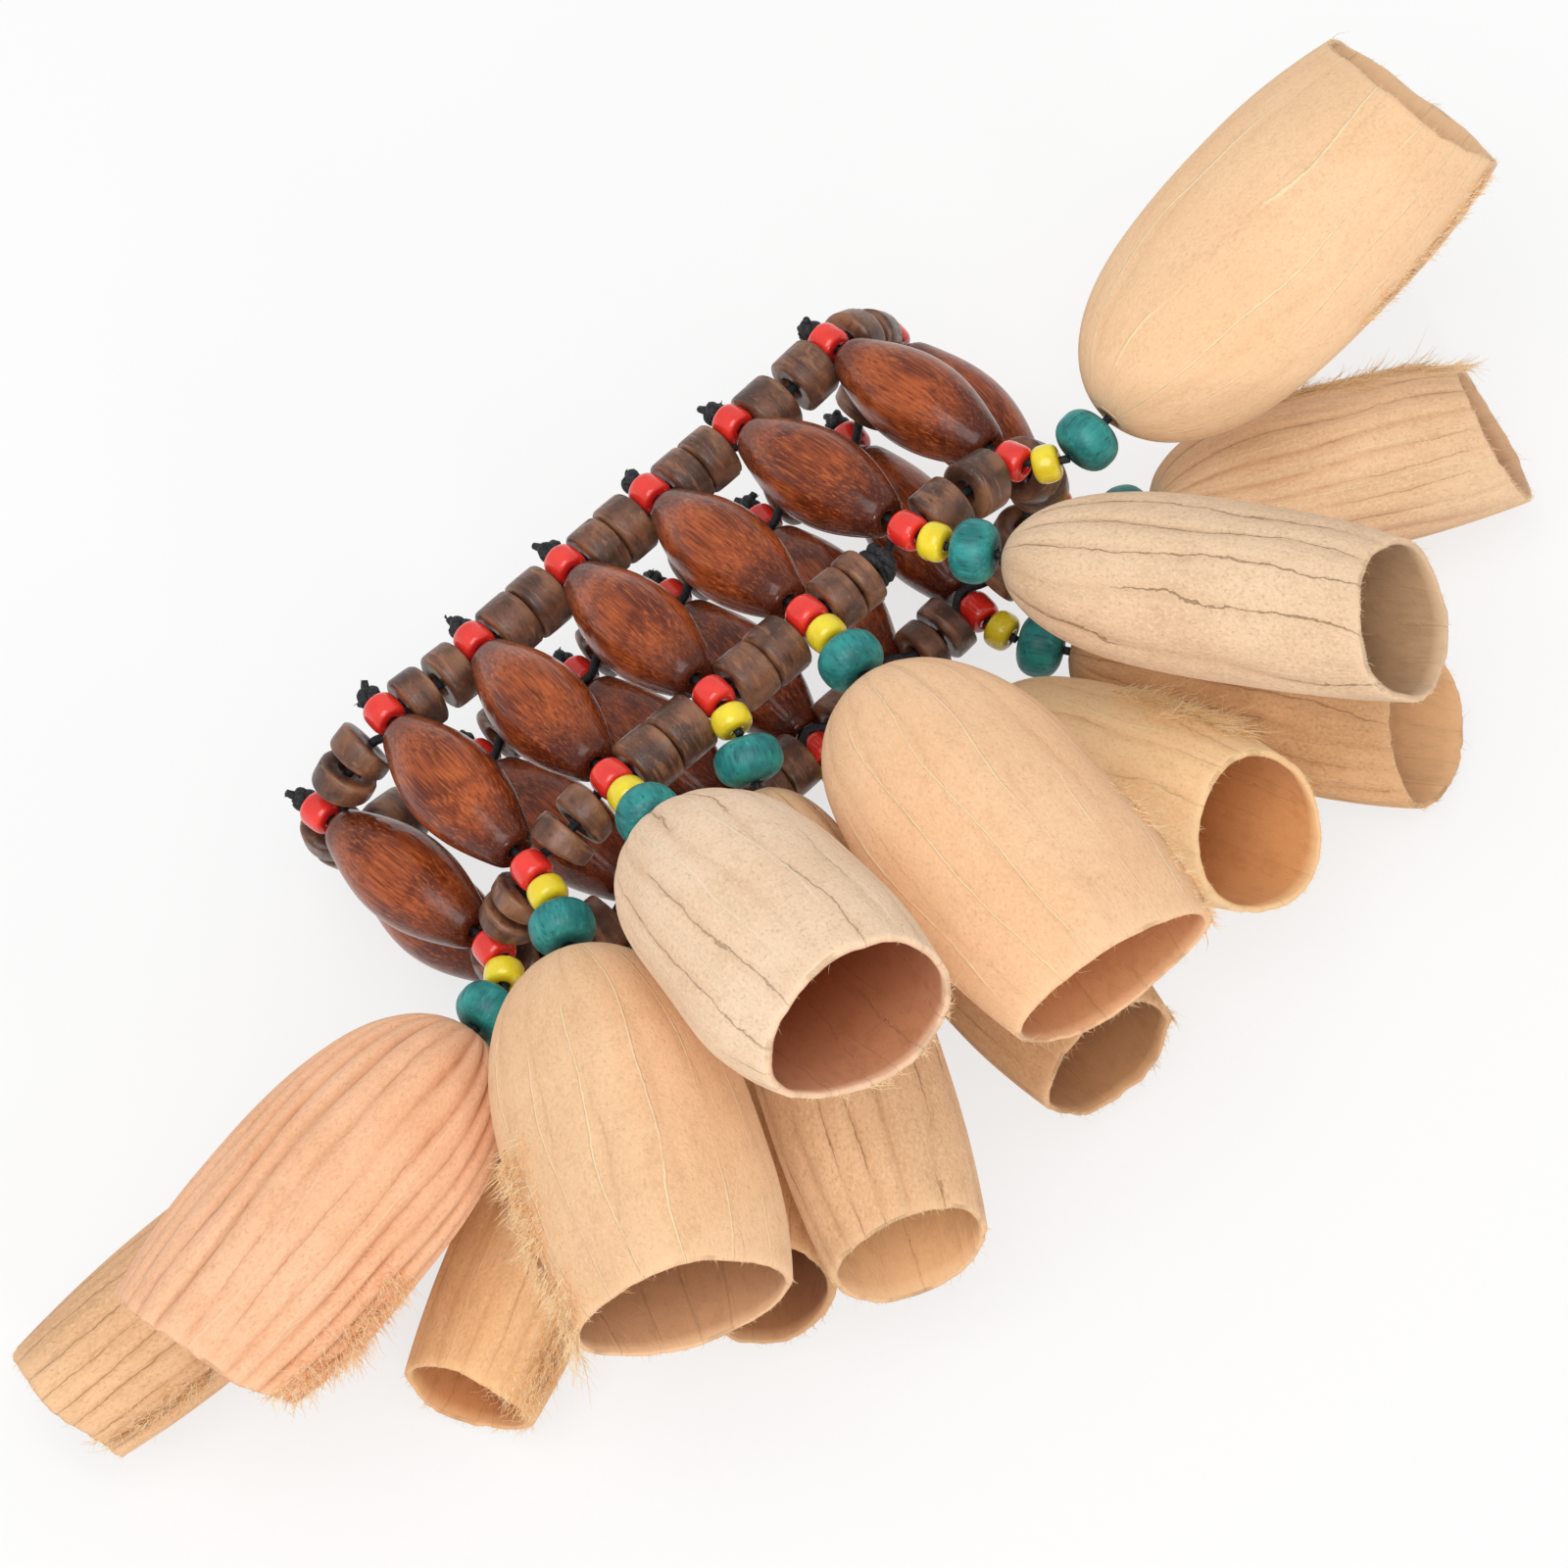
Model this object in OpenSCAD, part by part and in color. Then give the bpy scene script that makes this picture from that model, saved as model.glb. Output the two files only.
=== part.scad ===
// Nutshell shaker bracelet, lying on its side. Two elastic loops carry long wooden beads side by
// side with ring beads between them, and a nutshell dangles from the string through each long bead.
// X runs along the oval loop, the shells point towards -Y, and the origin is the loop's middle.

/* [Loops] */
// Straight length of each side of the upper loop
upper_straight = 61; // [58:0.5:66]
// Radius of the upper loop's round ends
upper_end_r = 15; // [14.5:0.25:17]
// Straight length of each side of the lower loop, next to the shells
lower_straight = 54; // [51:0.5:60]
// Radius of the lower loop's round ends
lower_end_r = 17; // [16:0.25:18.5]
// Height of the lower loop's middle above the upper loop's
rim_lift = 6.5; // [5:0.5:8]
// Shift of the lower loop along X
rim_shift = -1; // [-3:0.25:1]
// Diameter of the elastic
elastic_d = 1.1; // [0.9:0.1:1.4]
// Diameter of the tie strings
string_d = 1; // [0.8:0.05:1.1]
// Diameter of the frayed knot on top of each string
top_knot_d = 2.6; // [2.2:0.1:3]
// Diameter of the knot that holds each shell from inside
shell_knot_d = 2.8; // [2.4:0.1:3.2]
// Diameter of the knot that closes the lower elastic
elastic_knot_d = 3.8; // [3:0.1:4.4]
// Length of that knot along the elastic
elastic_knot_len = 2.6; // [2:0.1:3]

/* [Beads] */
// Length of a long bead
long_len = 23.5; // [22:0.5:25]
// Diameter of a long bead at its belly
long_d = 11.2; // [10:0.1:11.8]
// Diameter of a long bead at its ends
long_end_d = 5; // [4.4:0.1:5.4]
// Diameter of a red bead
red_d = 4.5; // [4.2:0.1:5]
// Length of a red bead
red_len = 3.3; // [2.9:0.1:3.7]
// Diameter of a yellow bead
yellow_d = 4.7; // [4.4:0.1:5.2]
// Length of a yellow bead
yellow_len = 3.3; // [2.9:0.1:3.7]
// Diameter of a teal bead
teal_d = 7.8; // [7:0.1:8.2]
// Length of a teal bead
teal_len = 5.2; // [4.8:0.1:5.6]
// Diameter of a coconut ring bead
ring_d = 7.4; // [6.8:0.1:7.8]
// Largest thickness of a ring bead
ring_t = 4.2; // [3:0.1:4.6]
// Bore of a ring bead
ring_bore_d = 3; // [2.6:0.1:3.6]
// How far the ring beads stand out past the rims
ring_out = 2; // [1.8:0.1:2.5]

/* [Shells] */
// Wall of a nutshell
shell_wall = 1.1; // [0.9:0.05:1.4]
// Hole for the string in a shell's tip
shell_hole_d = 2.2; // [1.8:0.1:2.6]
// Largest swing of a shell about its teal bead, in degrees
swing_up = 35; // [20:1:45]

/* [Fits] */
// Play between a string or elastic and what it goes through, at the radius
thread_play = 0.3; // [0.2:0.05:0.4]
// Gap between neighbours threaded on one string or elastic
bead_gap = 0.25; // [0.2:0.05:0.35]

/* [Stations] */
// Place of each long bead's upper end, in percent of the upper loop from its top middle towards +X
upper_share = [2.8, 9, 16.3, 24, 32.1, 38.9, 45.7, 52.6, 59.8, 69.5, 76.8, 83.8, 90, 96.6]; // [0:0.1:100]
// Place of each long bead's lower end, in percent of the lower loop
lower_share = [2.5, 9.7, 17.4, 26.2, 34.5, 40.5, 46.6, 52.8, 59.6, 69.8, 76.6, 82.4, 88.7, 95.8]; // [0:0.1:100]
// Direction of each shell, in degrees from -Y towards +X
shell_fan = [-11, 29, 92, 66, 32, 12, -7, -44, -65, -94, -79, -28, -12, -25]; // [-95:1:95]
// Rise of each shell's mouth above the level, in degrees
shell_lift = [8, 11, 9, -10, 0, 20, 7, 4, 0, -6, 6, 6, 29, -18]; // [-40:1:40]
// Length of each shell
shell_len = [48, 46, 52, 44, 42, 40, 42, 49, 53, 58, 48, 46, 45, 54]; // [38:1:58]
// Width of each shell
shell_width = [29, 21, 29, 21, 22, 22, 21, 19, 18, 20, 27, 28, 26, 21]; // [16:0.5:30]
// Thickness of each shell
shell_thick = [21, 20, 21, 19, 18, 19, 18, 18, 17, 17, 20, 20, 21, 18]; // [16:0.5:24]
// How far each mouth is cut aslant, in percent of the shell's length, below 0 where it looks down
mouth_slant = [-2, 8, 8, 12, 11, 10, 3, 5, 0, -5, -10, 1, 0, 7]; // [-12:1:12]

/* [Hidden] */
station_count = len(upper_share);
stations = [for (i = [0 : station_count - 1]) i];
function two_digits(i) = str(i < 9 ? "0" : "", i + 1);
$fn = 48;

// The gap at each rim holds the elastic, which passes just inside the strings
rim_gap = elastic_d + 2 * bead_gap;
rim_span = long_len + rim_gap;
crossing_play = 2 * thread_play;
elastic_inset = (elastic_d + string_d) / 2 + crossing_play;
string_bore_d = string_d + 2 * thread_play;
string_r = string_d / 2;
elastic_r = elastic_d / 2;

// A loop is its straight length, its end radius and the place of its middle in X and Z
upper_loop = [upper_straight, upper_end_r, 0, -rim_lift / 2];
lower_loop = [lower_straight, lower_end_r, rim_shift, rim_lift / 2];
UP = 1;
DOWN = -1;

// Distance along a loop at a share of its length
function loop_length(loop) = 2 * loop[0] + 2 * PI * loop[1];
function loop_along(share, loop) = (share % 100) / 100 * loop_length(loop);

// Turn of the outward normal from +Z towards +X, in degrees
function loop_turn(share, loop) =
    let (p = loop_along(share, loop), half = loop[0] / 2, arc = PI * loop[1])
    p < half ? 0
    : p < half + arc ? (p - half) / arc * 180
    : p < 3 * half + arc ? 180
    : p < 3 * half + 2 * arc ? 180 + (p - 3 * half - arc) / arc * 180
    : 360;

// X of the point that the loop bends about, or of the straight run's own point
function loop_centre_x(share, loop) =
    let (p = loop_along(share, loop), half = loop[0] / 2, arc = PI * loop[1])
    p < half ? p
    : p < half + arc ? half
    : p < 3 * half + arc ? 2 * half + arc - p
    : p < 3 * half + 2 * arc ? -half
    : p - loop_length(loop);

function loop_normal(share, loop) =
    let (turn = loop_turn(share, loop))
    [sin(turn), 0, cos(turn)];
function loop_level(share, loop) =
    [loop[2] + loop_centre_x(share, loop), 0, loop[3]] + loop[1] * loop_normal(share, loop);

// A place on the band is a station's number k and the part of the run from there to the next one.
// The rims lie one string span apart at every place
function unit(v) = v / norm(v);
function side_loop(side) = side == UP ? upper_loop : lower_loop;
function side_shares(side) = side == UP ? upper_share : lower_share;
function share_at(k, part, side) =
    let (shares = side_shares(side), start = shares[k],
         end = k + 1 < station_count ? shares[k + 1] : shares[0] + 100)
    start + part * (end - start);
function rim_level(k, part, side) = loop_level(share_at(k, part, side), side_loop(side));
function rim(k, part, side) =
    let (apart = norm(rim_level(k, part, UP) - rim_level(k, part, DOWN)))
    rim_level(k, part, side) + [0, side * sqrt(rim_span ^ 2 - apart ^ 2) / 2, 0];
function string_dir(k, part = 0) = unit(rim(k, part, DOWN) - rim(k, part, UP));
function rim_out(k, part, side) = -side * string_dir(k, part);

// The elastic bows out between two long beads, where it carries the ring beads
bow_power = 8;
part_step = 0.02;
function inward(k, part, side) =
    let (normal = loop_normal(share_at(k, part, side), side_loop(side)), dir = string_dir(k, part))
    unit((normal * dir) * dir - normal);
function elastic_point(k, part, side) =
    rim(k, part, side) + elastic_inset * inward(k, part, side)
    + ring_out * (1 - cos(180 * part) ^ bow_power) * rim_out(k, part, side);
function elastic_dir(k, part, side) =
    unit(elastic_point(k, part + part_step, side) - elastic_point(k, part - part_step, side));

// Radius of a long bead at a distance from its end
function long_r(s) = long_end_d / 2 + (long_d - long_end_d) / 2 * sin(180 * s / long_len);

// Two ring beads share the middle of each run. Their thickness fits the run between the long
// beads' flanks, and shrinks where the run bends
ring_depth = max(0, ring_d / 2 - ring_out - rim_gap / 2);
station_half = max(long_r(ring_depth), red_d / 2) + bead_gap;
function run_length(k, side) = norm(elastic_point(k, 1, side) - elastic_point(k, 0, side));
function run_turn(k, side) =
    let (loop = side_loop(side),
         turn = loop_turn(share_at(k, 1, side), loop) - loop_turn(share_at(k, 0, side), loop))
    turn < 0 ? turn + 360 : turn;
// Share of a run's length that is left at a depth inside its bend
function squeeze(k, side, depth) = 1 - depth * run_turn(k, side) * PI / 180 / run_length(k, side);
// The ring beads' room is taken at a depth between their edges and the long beads' flanks
flank_depth = long_r(ring_depth) - elastic_inset;
room_depth = (ring_d / 2 + 2 * flank_depth) / 3;
function knot_room(k, side) = k == 0 && side == DOWN ? elastic_knot_len + bead_gap : 0;
function ring_fit_t(k, side) =
    min(ring_t, (run_length(k, side) * squeeze(k, side, room_depth) - 2 * station_half
        - knot_room(k, side) - 4 * bead_gap) / 2);
// Ring beads lie further apart where the loop bends, so that their inner edges keep clear
function bend_squeeze(side) = 1 - ring_d / 2 / (side_loop(side)[1] - elastic_inset);
function ring_squeeze(k, side) =
    run_turn(k, side) > 0 ? min(squeeze(k, side, ring_d / 2), bend_squeeze(side)) : 1;
function ring_pitch(k, side) = (ring_fit_t(k, side) + bead_gap) / ring_squeeze(k, side);
function ring_part(k, side, n) =
    0.5 + ((n - 0.5) * ring_pitch(k, side) - knot_room(k, side) / 2) / run_length(k, side);
knot_part = 0.5 + (ring_pitch(0, DOWN) + bead_gap / 2) / run_length(0, DOWN);

// Directions and centres of the beads below the lower rim, where the string bends to the shell
red_bend = 0.15;
yellow_bend = 0.55;
function shell_dir(i) =
    [sin(shell_fan[i]) * cos(shell_lift[i]), -cos(shell_fan[i]) * cos(shell_lift[i]), sin(shell_lift[i])];
function bent_dir(i, bend) = unit((1 - bend) * string_dir(i) + bend * shell_dir(i));
function red_dir(i, side) = side == UP ? string_dir(i) : bent_dir(i, red_bend);
// Two rounded beads keep clear where the string bends between them by lying further apart there
function bend_room(dir_a, dir_b, flat_r) = flat_r * norm(dir_a - dir_b) / 2;
function bead_flat_r(d, length) = (d - length) / 2;
function red_at(i, side) =
    let (dir = red_dir(i, side))
    rim(i, 0, side) + rim_gap / 2 * rim_out(i, 0, side)
    - side * (red_len / 2 + 2 * bend_room(dir, string_dir(i), red_d / 2)) * dir;
function yellow_dir(i) = bent_dir(i, yellow_bend);
function yellow_at(i) =
    let (a = red_dir(i, DOWN), b = yellow_dir(i))
    red_at(i, DOWN) + unit(a + b) * ((red_len + yellow_len) / 2 + bead_gap / 2
        + bend_room(a, b, bead_flat_r(red_d, red_len) + bead_flat_r(yellow_d, yellow_len)));
function teal_at(i) =
    let (a = yellow_dir(i), b = shell_dir(i))
    yellow_at(i) + unit(a + b) * ((yellow_len + teal_len) / 2 + bead_gap
        + bend_room(a, b, bead_flat_r(yellow_d, yellow_len) + bead_flat_r(teal_d, teal_len)));

// A shell's tip stays clear of the round teal bead as the shell swings about the bead's middle
swing_clear = bead_flat_r(teal_d, teal_len) * sin(swing_up) + bead_gap;
function shell_at(i) = teal_at(i) + (teal_len / 2 + swing_clear) * shell_dir(i);

// A shell's outline swells from its tip to a belly at belly_part and draws in a little to the mouth
belly_part = 0.68;
mouth_draw_in = 0.13;
tip_blunt = 3.2;
tip_wall = 1.5 * shell_wall;
// Three shallow lobes run along it, turned on from shell to shell
lobes = 3;
lobe_depth = 0.03;
lobe_turn = 50;
around = 18;
outer_steps = [0.012, 0.05, 0.13, 0.25, 0.42, 0.64, 0.84, 1];
inner_steps = [1, 0.84, 0.64, 0.42, 0.25, 0.12];
function swell(t) =
    t < belly_part ? sqrt(1 - (1 - t / belly_part) ^ tip_blunt)
    : 1 - mouth_draw_in * ((t - belly_part) / (1 - belly_part)) ^ 2;
function ripple(i, turn, t) = 1 + lobe_depth * t * cos(lobes * turn + lobe_turn * i);
function shell_point(i, t, turn, inward) =
    let (r = swell(t) * ripple(i, turn, t))
    [(shell_thick[i] / 2 * r - inward) * cos(turn), (shell_width[i] / 2 * r - inward) * sin(turn),
     shell_len[i] * t * (1 + mouth_slant[i] / 100 * t * cos(turn))];
function hole_point(turn, height) =
    [shell_hole_d / 2 * cos(turn), shell_hole_d / 2 * sin(turn), height];
function turns(n) = [for (j = [0 : n - 1]) 360 * j / n];
function shell_rings(i) = concat(
    [[for (a = turns(around)) hole_point(a, 0)]],
    [for (t = outer_steps) [for (a = turns(around)) shell_point(i, t, a, 0)]],
    [for (t = inner_steps) [for (a = turns(around)) shell_point(i, t, a, shell_wall)]],
    [[for (a = turns(around)) hole_point(a, tip_wall)]]);

// Paths of the strings and the elastics as lists of [point, radius]. A knot's steps are places
// along it and radii there, as shares of its own radius
knot_steps = [[-0.95, 0.4], [-0.5, 0.87], [0, 1], [0.5, 0.87], [0.95, 0.4]];
function knot_path(at, dir, r) = [for (step = knot_steps) [at + step[0] * r * dir, step[1] * r]];
function bead_path(at, dir, length) = [
    [at - (length + bead_gap) / 2 * dir, string_r], [at + (length + bead_gap) / 2 * dir, string_r]];
function string_path(i) =
    let (dir = string_dir(i),
         top = red_at(i, UP) - (red_len / 2 + bead_gap + top_knot_d / 2) * dir,
         foot = shell_at(i) + (tip_wall + bead_gap + shell_knot_d / 2) * shell_dir(i))
    concat(
        knot_path(top, dir, top_knot_d / 2),
        [[top + (top_knot_d / 2 + bead_gap / 2) * dir, string_r]],
        [[rim(i, 0, DOWN) + rim_gap / 3 * dir, string_r]],
        bead_path(red_at(i, DOWN), red_dir(i, DOWN), red_len),
        bead_path(yellow_at(i), yellow_dir(i), yellow_len),
        bead_path(teal_at(i), shell_dir(i), teal_len),
        [[foot - (shell_knot_d / 2 + bead_gap / 2) * shell_dir(i), string_r]],
        knot_path(foot, shell_dir(i), shell_knot_d / 2));
run_parts = 12;
function elastic_path(side) = [
    for (k = stations, j = [0 : run_parts - 1]) [elastic_point(k, j / run_parts, side), elastic_r]];

// A ring of points round each place of a path, square to the way it runs there
sides = 6;
function path_dir(path, n, closed) =
    let (last = len(path) - 1,
         before = n > 0 ? n - 1 : closed ? last : 0,
         after = n < last ? n + 1 : closed ? 0 : last)
    unit(path[after][0] - path[before][0]);
function path_ring(path, n, closed, beside) =
    let (dir = path_dir(path, n, closed), u = unit(cross(beside, dir)), v = cross(dir, u))
    [for (a = turns(sides)) path[n][0] + path[n][1] * (cos(a) * u + sin(a) * v)];

module along(at, dir) {
    translate(at) rotate([0, acos(dir[2]), atan2(dir[1], dir[0])]) children();
}

// A surface through rings of points, closed end to end or capped
module ringed(rings, closed) {
    count = len(rings);
    n = len(rings[0]);
    last = closed ? count - 1 : count - 2;
    quads = [for (r = [0 : last], j = [0 : n - 1])
        [r * n + j, (r + 1) % count * n + j, (r + 1) % count * n + (j + 1) % n, r * n + (j + 1) % n]];
    walls = [for (q = quads, half = [[q[0], q[1], q[2]], [q[0], q[2], q[3]]]) half];
    caps = closed ? [] : [[for (j = [0 : n - 1]) j], [for (j = [n - 1 : -1 : 0]) (count - 1) * n + j]];
    polyhedron([for (ring = rings) each ring], concat(walls, caps));
}

// A bead with a fully rounded flank and a bore
module round_bead(d, length, bore_d) {
    rotate_extrude()
        intersection() {
            union() {
                translate([bead_flat_r(d, length), 0]) circle(d = length);
                translate([0, -length / 2]) square([bead_flat_r(d, length), length]);
            }
            translate([bore_d / 2, -length / 2]) square([d, length]);
        }
}

module long_bead(i) {
    steps = 10;
    middle = (rim(i, 0, UP) + rim(i, 0, DOWN)) / 2;
    flank = [for (n = [0 : steps]) [long_r(long_len * n / steps), long_len * (n / steps - 0.5)]];
    bore = [[string_bore_d / 2, long_len / 2], [string_bore_d / 2, -long_len / 2]];
    color("saddlebrown")
        along(middle, string_dir(i)) rotate_extrude() polygon(concat(flank, bore));
}

module red_beads(side) {
    color("red")
        for (i = stations)
            along(red_at(i, side), red_dir(i, side)) round_bead(red_d, red_len, string_bore_d);
}

module yellow_beads() {
    color("gold")
        for (i = stations)
            along(yellow_at(i), yellow_dir(i)) round_bead(yellow_d, yellow_len, string_bore_d);
}

module teal_bead(i) {
    color("teal") along(teal_at(i), shell_dir(i)) round_bead(teal_d, teal_len, string_bore_d);
}

// A ring bead of coconut shell with eased edges
module ring_bead(thickness) {
    ease = ring_d / 16;
    r = ring_d / 2;
    half = thickness / 2;
    rotate_extrude()
        polygon([[ring_bore_d / 2, -half], [r - ease, -half], [r, ease - half], [r, half - ease],
            [r - ease, half], [ring_bore_d / 2, half]]);
}

module ring_beads(side) {
    color("sienna")
        for (k = stations, n = [0, 1])
            let (part = ring_part(k, side, n))
                along(elastic_point(k, part, side), elastic_dir(k, part, side))
                    ring_bead(ring_fit_t(k, side));
}

module elastic(side) {
    path = elastic_path(side);
    color("black")
        ringed([for (n = [0 : len(path) - 1]) path_ring(path, n, true, [0, 1, 0])], true);
}

// The lump where the lower elastic's ends are tied
module elastic_knot() {
    color("black")
        along(elastic_point(0, knot_part, DOWN), elastic_dir(0, knot_part, DOWN))
            round_bead(elastic_knot_d, elastic_knot_len, elastic_d + thread_play);
}

module tie_strings() {
    color("black")
        for (i = stations)
            let (path = string_path(i))
                ringed([for (n = [0 : len(path) - 1]) path_ring(path, n, false, [0, 0, 1])], false);
}

module shell(i) {
    color("burlywood")
        along(shell_at(i), shell_dir(i)) ringed(shell_rings(i), true);
}

for (i = stations) {
    long_bead(i);
    teal_bead(i);
    shell(i);
}
red_beads(UP);  // upper_red_beads
red_beads(DOWN);  // lower_red_beads
yellow_beads();
ring_beads(UP);  // upper_ring_beads
ring_beads(DOWN);  // lower_ring_beads
elastic(UP);  // upper_elastic
elastic(DOWN);  // lower_elastic
elastic_knot();
tie_strings();
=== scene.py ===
"""Looks of a nutshell shaker bracelet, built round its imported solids.

The bracelet lies on its side: two elastic loops carry long wooden beads and coconut rings, and a hollow
nutshell hangs from the string through each long bead. Shapes are worked out in millimetres with numpy and
stored in metres, in the frame of the solids. Turns are in radians unless a name says otherwise.
"""
import math

import bpy
import numpy as np
from mathutils import Matrix


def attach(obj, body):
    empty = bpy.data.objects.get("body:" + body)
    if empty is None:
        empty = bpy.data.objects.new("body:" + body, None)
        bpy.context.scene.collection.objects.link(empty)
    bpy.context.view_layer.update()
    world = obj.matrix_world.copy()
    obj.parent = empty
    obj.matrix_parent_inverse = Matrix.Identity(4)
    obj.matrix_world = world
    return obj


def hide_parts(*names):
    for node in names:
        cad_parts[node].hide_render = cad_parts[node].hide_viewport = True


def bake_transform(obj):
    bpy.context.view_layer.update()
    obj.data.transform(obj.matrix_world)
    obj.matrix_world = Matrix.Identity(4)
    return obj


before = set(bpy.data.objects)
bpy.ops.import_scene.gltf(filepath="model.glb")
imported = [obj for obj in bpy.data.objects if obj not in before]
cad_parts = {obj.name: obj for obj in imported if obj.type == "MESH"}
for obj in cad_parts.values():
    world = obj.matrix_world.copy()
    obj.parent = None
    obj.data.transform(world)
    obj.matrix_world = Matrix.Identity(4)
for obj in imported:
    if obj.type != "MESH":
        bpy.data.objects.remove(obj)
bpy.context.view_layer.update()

MM = 0.001
TAU = 2 * math.pi

# Sizes of the solids: loops are straight length, end radius, middle X and middle Z
UPPER_LOOP = (61, 15, 0, -3.25)
LOWER_LOOP = (54, 17, -1, 3.25)
ELASTIC_D, STRING_D = 1.1, 1.0
TOP_KNOT_D, SHELL_KNOT_D = 2.6, 2.8
KNOT_LUMP_D, KNOT_LUMP_LEN = 3.8, 2.6
LONG_LEN, LONG_D, LONG_END_D = 23.5, 11.2, 5.0
RED_D, RED_LEN = 4.5, 3.3
YELLOW_D, YELLOW_LEN = 4.7, 3.3
TEAL_D, TEAL_LEN = 7.8, 5.2
RING_D, RING_T, RING_BORE_D, RING_OUT = 7.4, 4.2, 3.0, 2.0
SHELL_WALL, SHELL_HOLE_D = 1.1, 2.2
THREAD_PLAY, BEAD_GAP, SWING_UP = 0.3, 0.25, math.radians(35)
UPPER_SHARE = np.array([2.8, 9, 16.3, 24, 32.1, 38.9, 45.7, 52.6, 59.8, 69.5, 76.8, 83.8, 90, 96.6])
LOWER_SHARE = np.array([2.5, 9.7, 17.4, 26.2, 34.5, 40.5, 46.6, 52.8, 59.6, 69.8, 76.6, 82.4, 88.7, 95.8])
SHELL_FAN = np.radians([-11, 29, 92, 66, 32, 12, -7, -44, -65, -94, -79, -28, -12, -25])
SHELL_LIFT = np.radians([8, 11, 9, -10, 0, 20, 7, 4, 0, -6, 6, 6, 29, -18])
SHELL_LEN = np.array([48, 46, 52, 44, 42, 40, 42, 49, 53, 58, 48, 46, 45, 54], float)
SHELL_WIDTH = np.array([29, 21, 29, 21, 22, 22, 21, 19, 18, 20, 27, 28, 26, 21], float)
SHELL_THICK = np.array([21, 20, 21, 19, 18, 19, 18, 18, 17, 17, 20, 20, 21, 18], float)
MOUTH_SLANT = np.array([-2, 8, 8, 12, 11, 10, 3, 5, 0, -5, -10, 1, 0, 7]) / 100
COUNT = len(UPPER_SHARE)
STATIONS = np.arange(COUNT)
UP, DOWN = 1, -1
RED_BEND, YELLOW_BEND = 0.15, 0.55
BOW_POWER, PART_STEP = 8, 0.02
BORE_R = STRING_D / 2 + THREAD_PLAY
# The red and teal beads are drawn longer than their solids, towards the long bead and the shell they press on
RED_SNUG, TEAL_SNUG = 0.5, 0.3
RIM_GAP = ELASTIC_D + 2 * BEAD_GAP
RIM_SPAN = LONG_LEN + RIM_GAP
ELASTIC_INSET = (ELASTIC_D + STRING_D) / 2 + 2 * THREAD_PLAY


def unit(v):
    """Each vector of an array, divided by its length."""
    return v / np.linalg.norm(v, axis=-1, keepdims=True)


def dot(a, b):
    """Sum of products along the last axis, kept as a column."""
    return np.sum(a * b, axis=-1, keepdims=True)


def loop_places(share, loop):
    """Points and outward normals at percent shares of a loop of two straights and two half circles."""
    straight, r, x, z = loop
    half, arc = straight / 2, math.pi * r
    length = 2 * straight + 2 * arc
    p = np.mod(share, 100) / 100 * length
    marks = [0, half, half + arc, 3 * half + arc, 3 * half + 2 * arc, length]
    turn = np.interp(p, marks, [0, 0, math.pi, math.pi, TAU, TAU])
    middle = np.interp(p, marks, [0, half, half, -half, -half, 0])
    normal = np.stack([np.sin(turn), 0 * turn, np.cos(turn)], -1)
    return np.stack([x + middle, 0 * turn, z + 0 * turn], -1) + r * normal, normal, turn


def shares_at(k, part, side):
    """Percent share at a part of the run from station k to the next."""
    table = UPPER_SHARE if side == UP else LOWER_SHARE
    ends = np.append(table, table[0] + 100)
    return ends[k] + part * (ends[k + 1] - ends[k])


def band_places(k, part, side):
    """Rim point, string way and inward way at a place: the two rims lie one string span apart along Y."""
    upper, upper_normal, _ = loop_places(shares_at(k, part, UP), UPPER_LOOP)
    lower, lower_normal, _ = loop_places(shares_at(k, part, DOWN), LOWER_LOOP)
    half = np.sqrt(RIM_SPAN ** 2 - np.sum((upper - lower) ** 2, -1)) / 2
    upper[..., 1] += half
    lower[..., 1] -= half
    way = unit(lower - upper)
    normal = upper_normal if side == UP else lower_normal
    return (upper if side == UP else lower), way, unit(dot(normal, way) * way - normal)


def elastic_points(k, part, side):
    """Middle of an elastic: just inside the strings, bowed out between two stations where the rings are."""
    rim, way, inward = band_places(k, part, side)
    bow = RING_OUT * (1 - np.cos(math.pi * part) ** BOW_POWER)
    return rim + ELASTIC_INSET * inward - side * bow[..., None] * way


def elastic_ways(k, part, side):
    """Way that an elastic runs, from two points a small step apart."""
    return unit(elastic_points(k, part + PART_STEP, side) - elastic_points(k, part - PART_STEP, side))


def bend_room(a, b, flat_r):
    """Extra room between two beads whose ways differ: half the way's change times their flat radius."""
    return flat_r * np.linalg.norm(a - b, axis=-1, keepdims=True) / 2


# Places of the beads on each string
START = np.zeros(COUNT)
rim_up, string_way, _ = band_places(STATIONS, START, UP)
rim_down, _, _ = band_places(STATIONS, START, DOWN)
shell_way = np.stack([np.sin(SHELL_FAN) * np.cos(SHELL_LIFT), -np.cos(SHELL_FAN) * np.cos(SHELL_LIFT),
                      np.sin(SHELL_LIFT)], -1)
red_way = unit((1 - RED_BEND) * string_way + RED_BEND * shell_way)
yellow_way = unit((1 - YELLOW_BEND) * string_way + YELLOW_BEND * shell_way)
red_flat, yellow_flat, teal_flat = (RED_D - RED_LEN) / 2, (YELLOW_D - YELLOW_LEN) / 2, (TEAL_D - TEAL_LEN) / 2
upper_red_at = rim_up - (RIM_GAP / 2 + RED_LEN / 2) * string_way
lower_red_at = (rim_down + RIM_GAP / 2 * string_way
                + (RED_LEN / 2 + 2 * bend_room(red_way, string_way, RED_D / 2)) * red_way)
yellow_at = lower_red_at + unit(red_way + yellow_way) * (
    (RED_LEN + YELLOW_LEN) / 2 + BEAD_GAP / 2 + bend_room(red_way, yellow_way, red_flat + yellow_flat))
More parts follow.
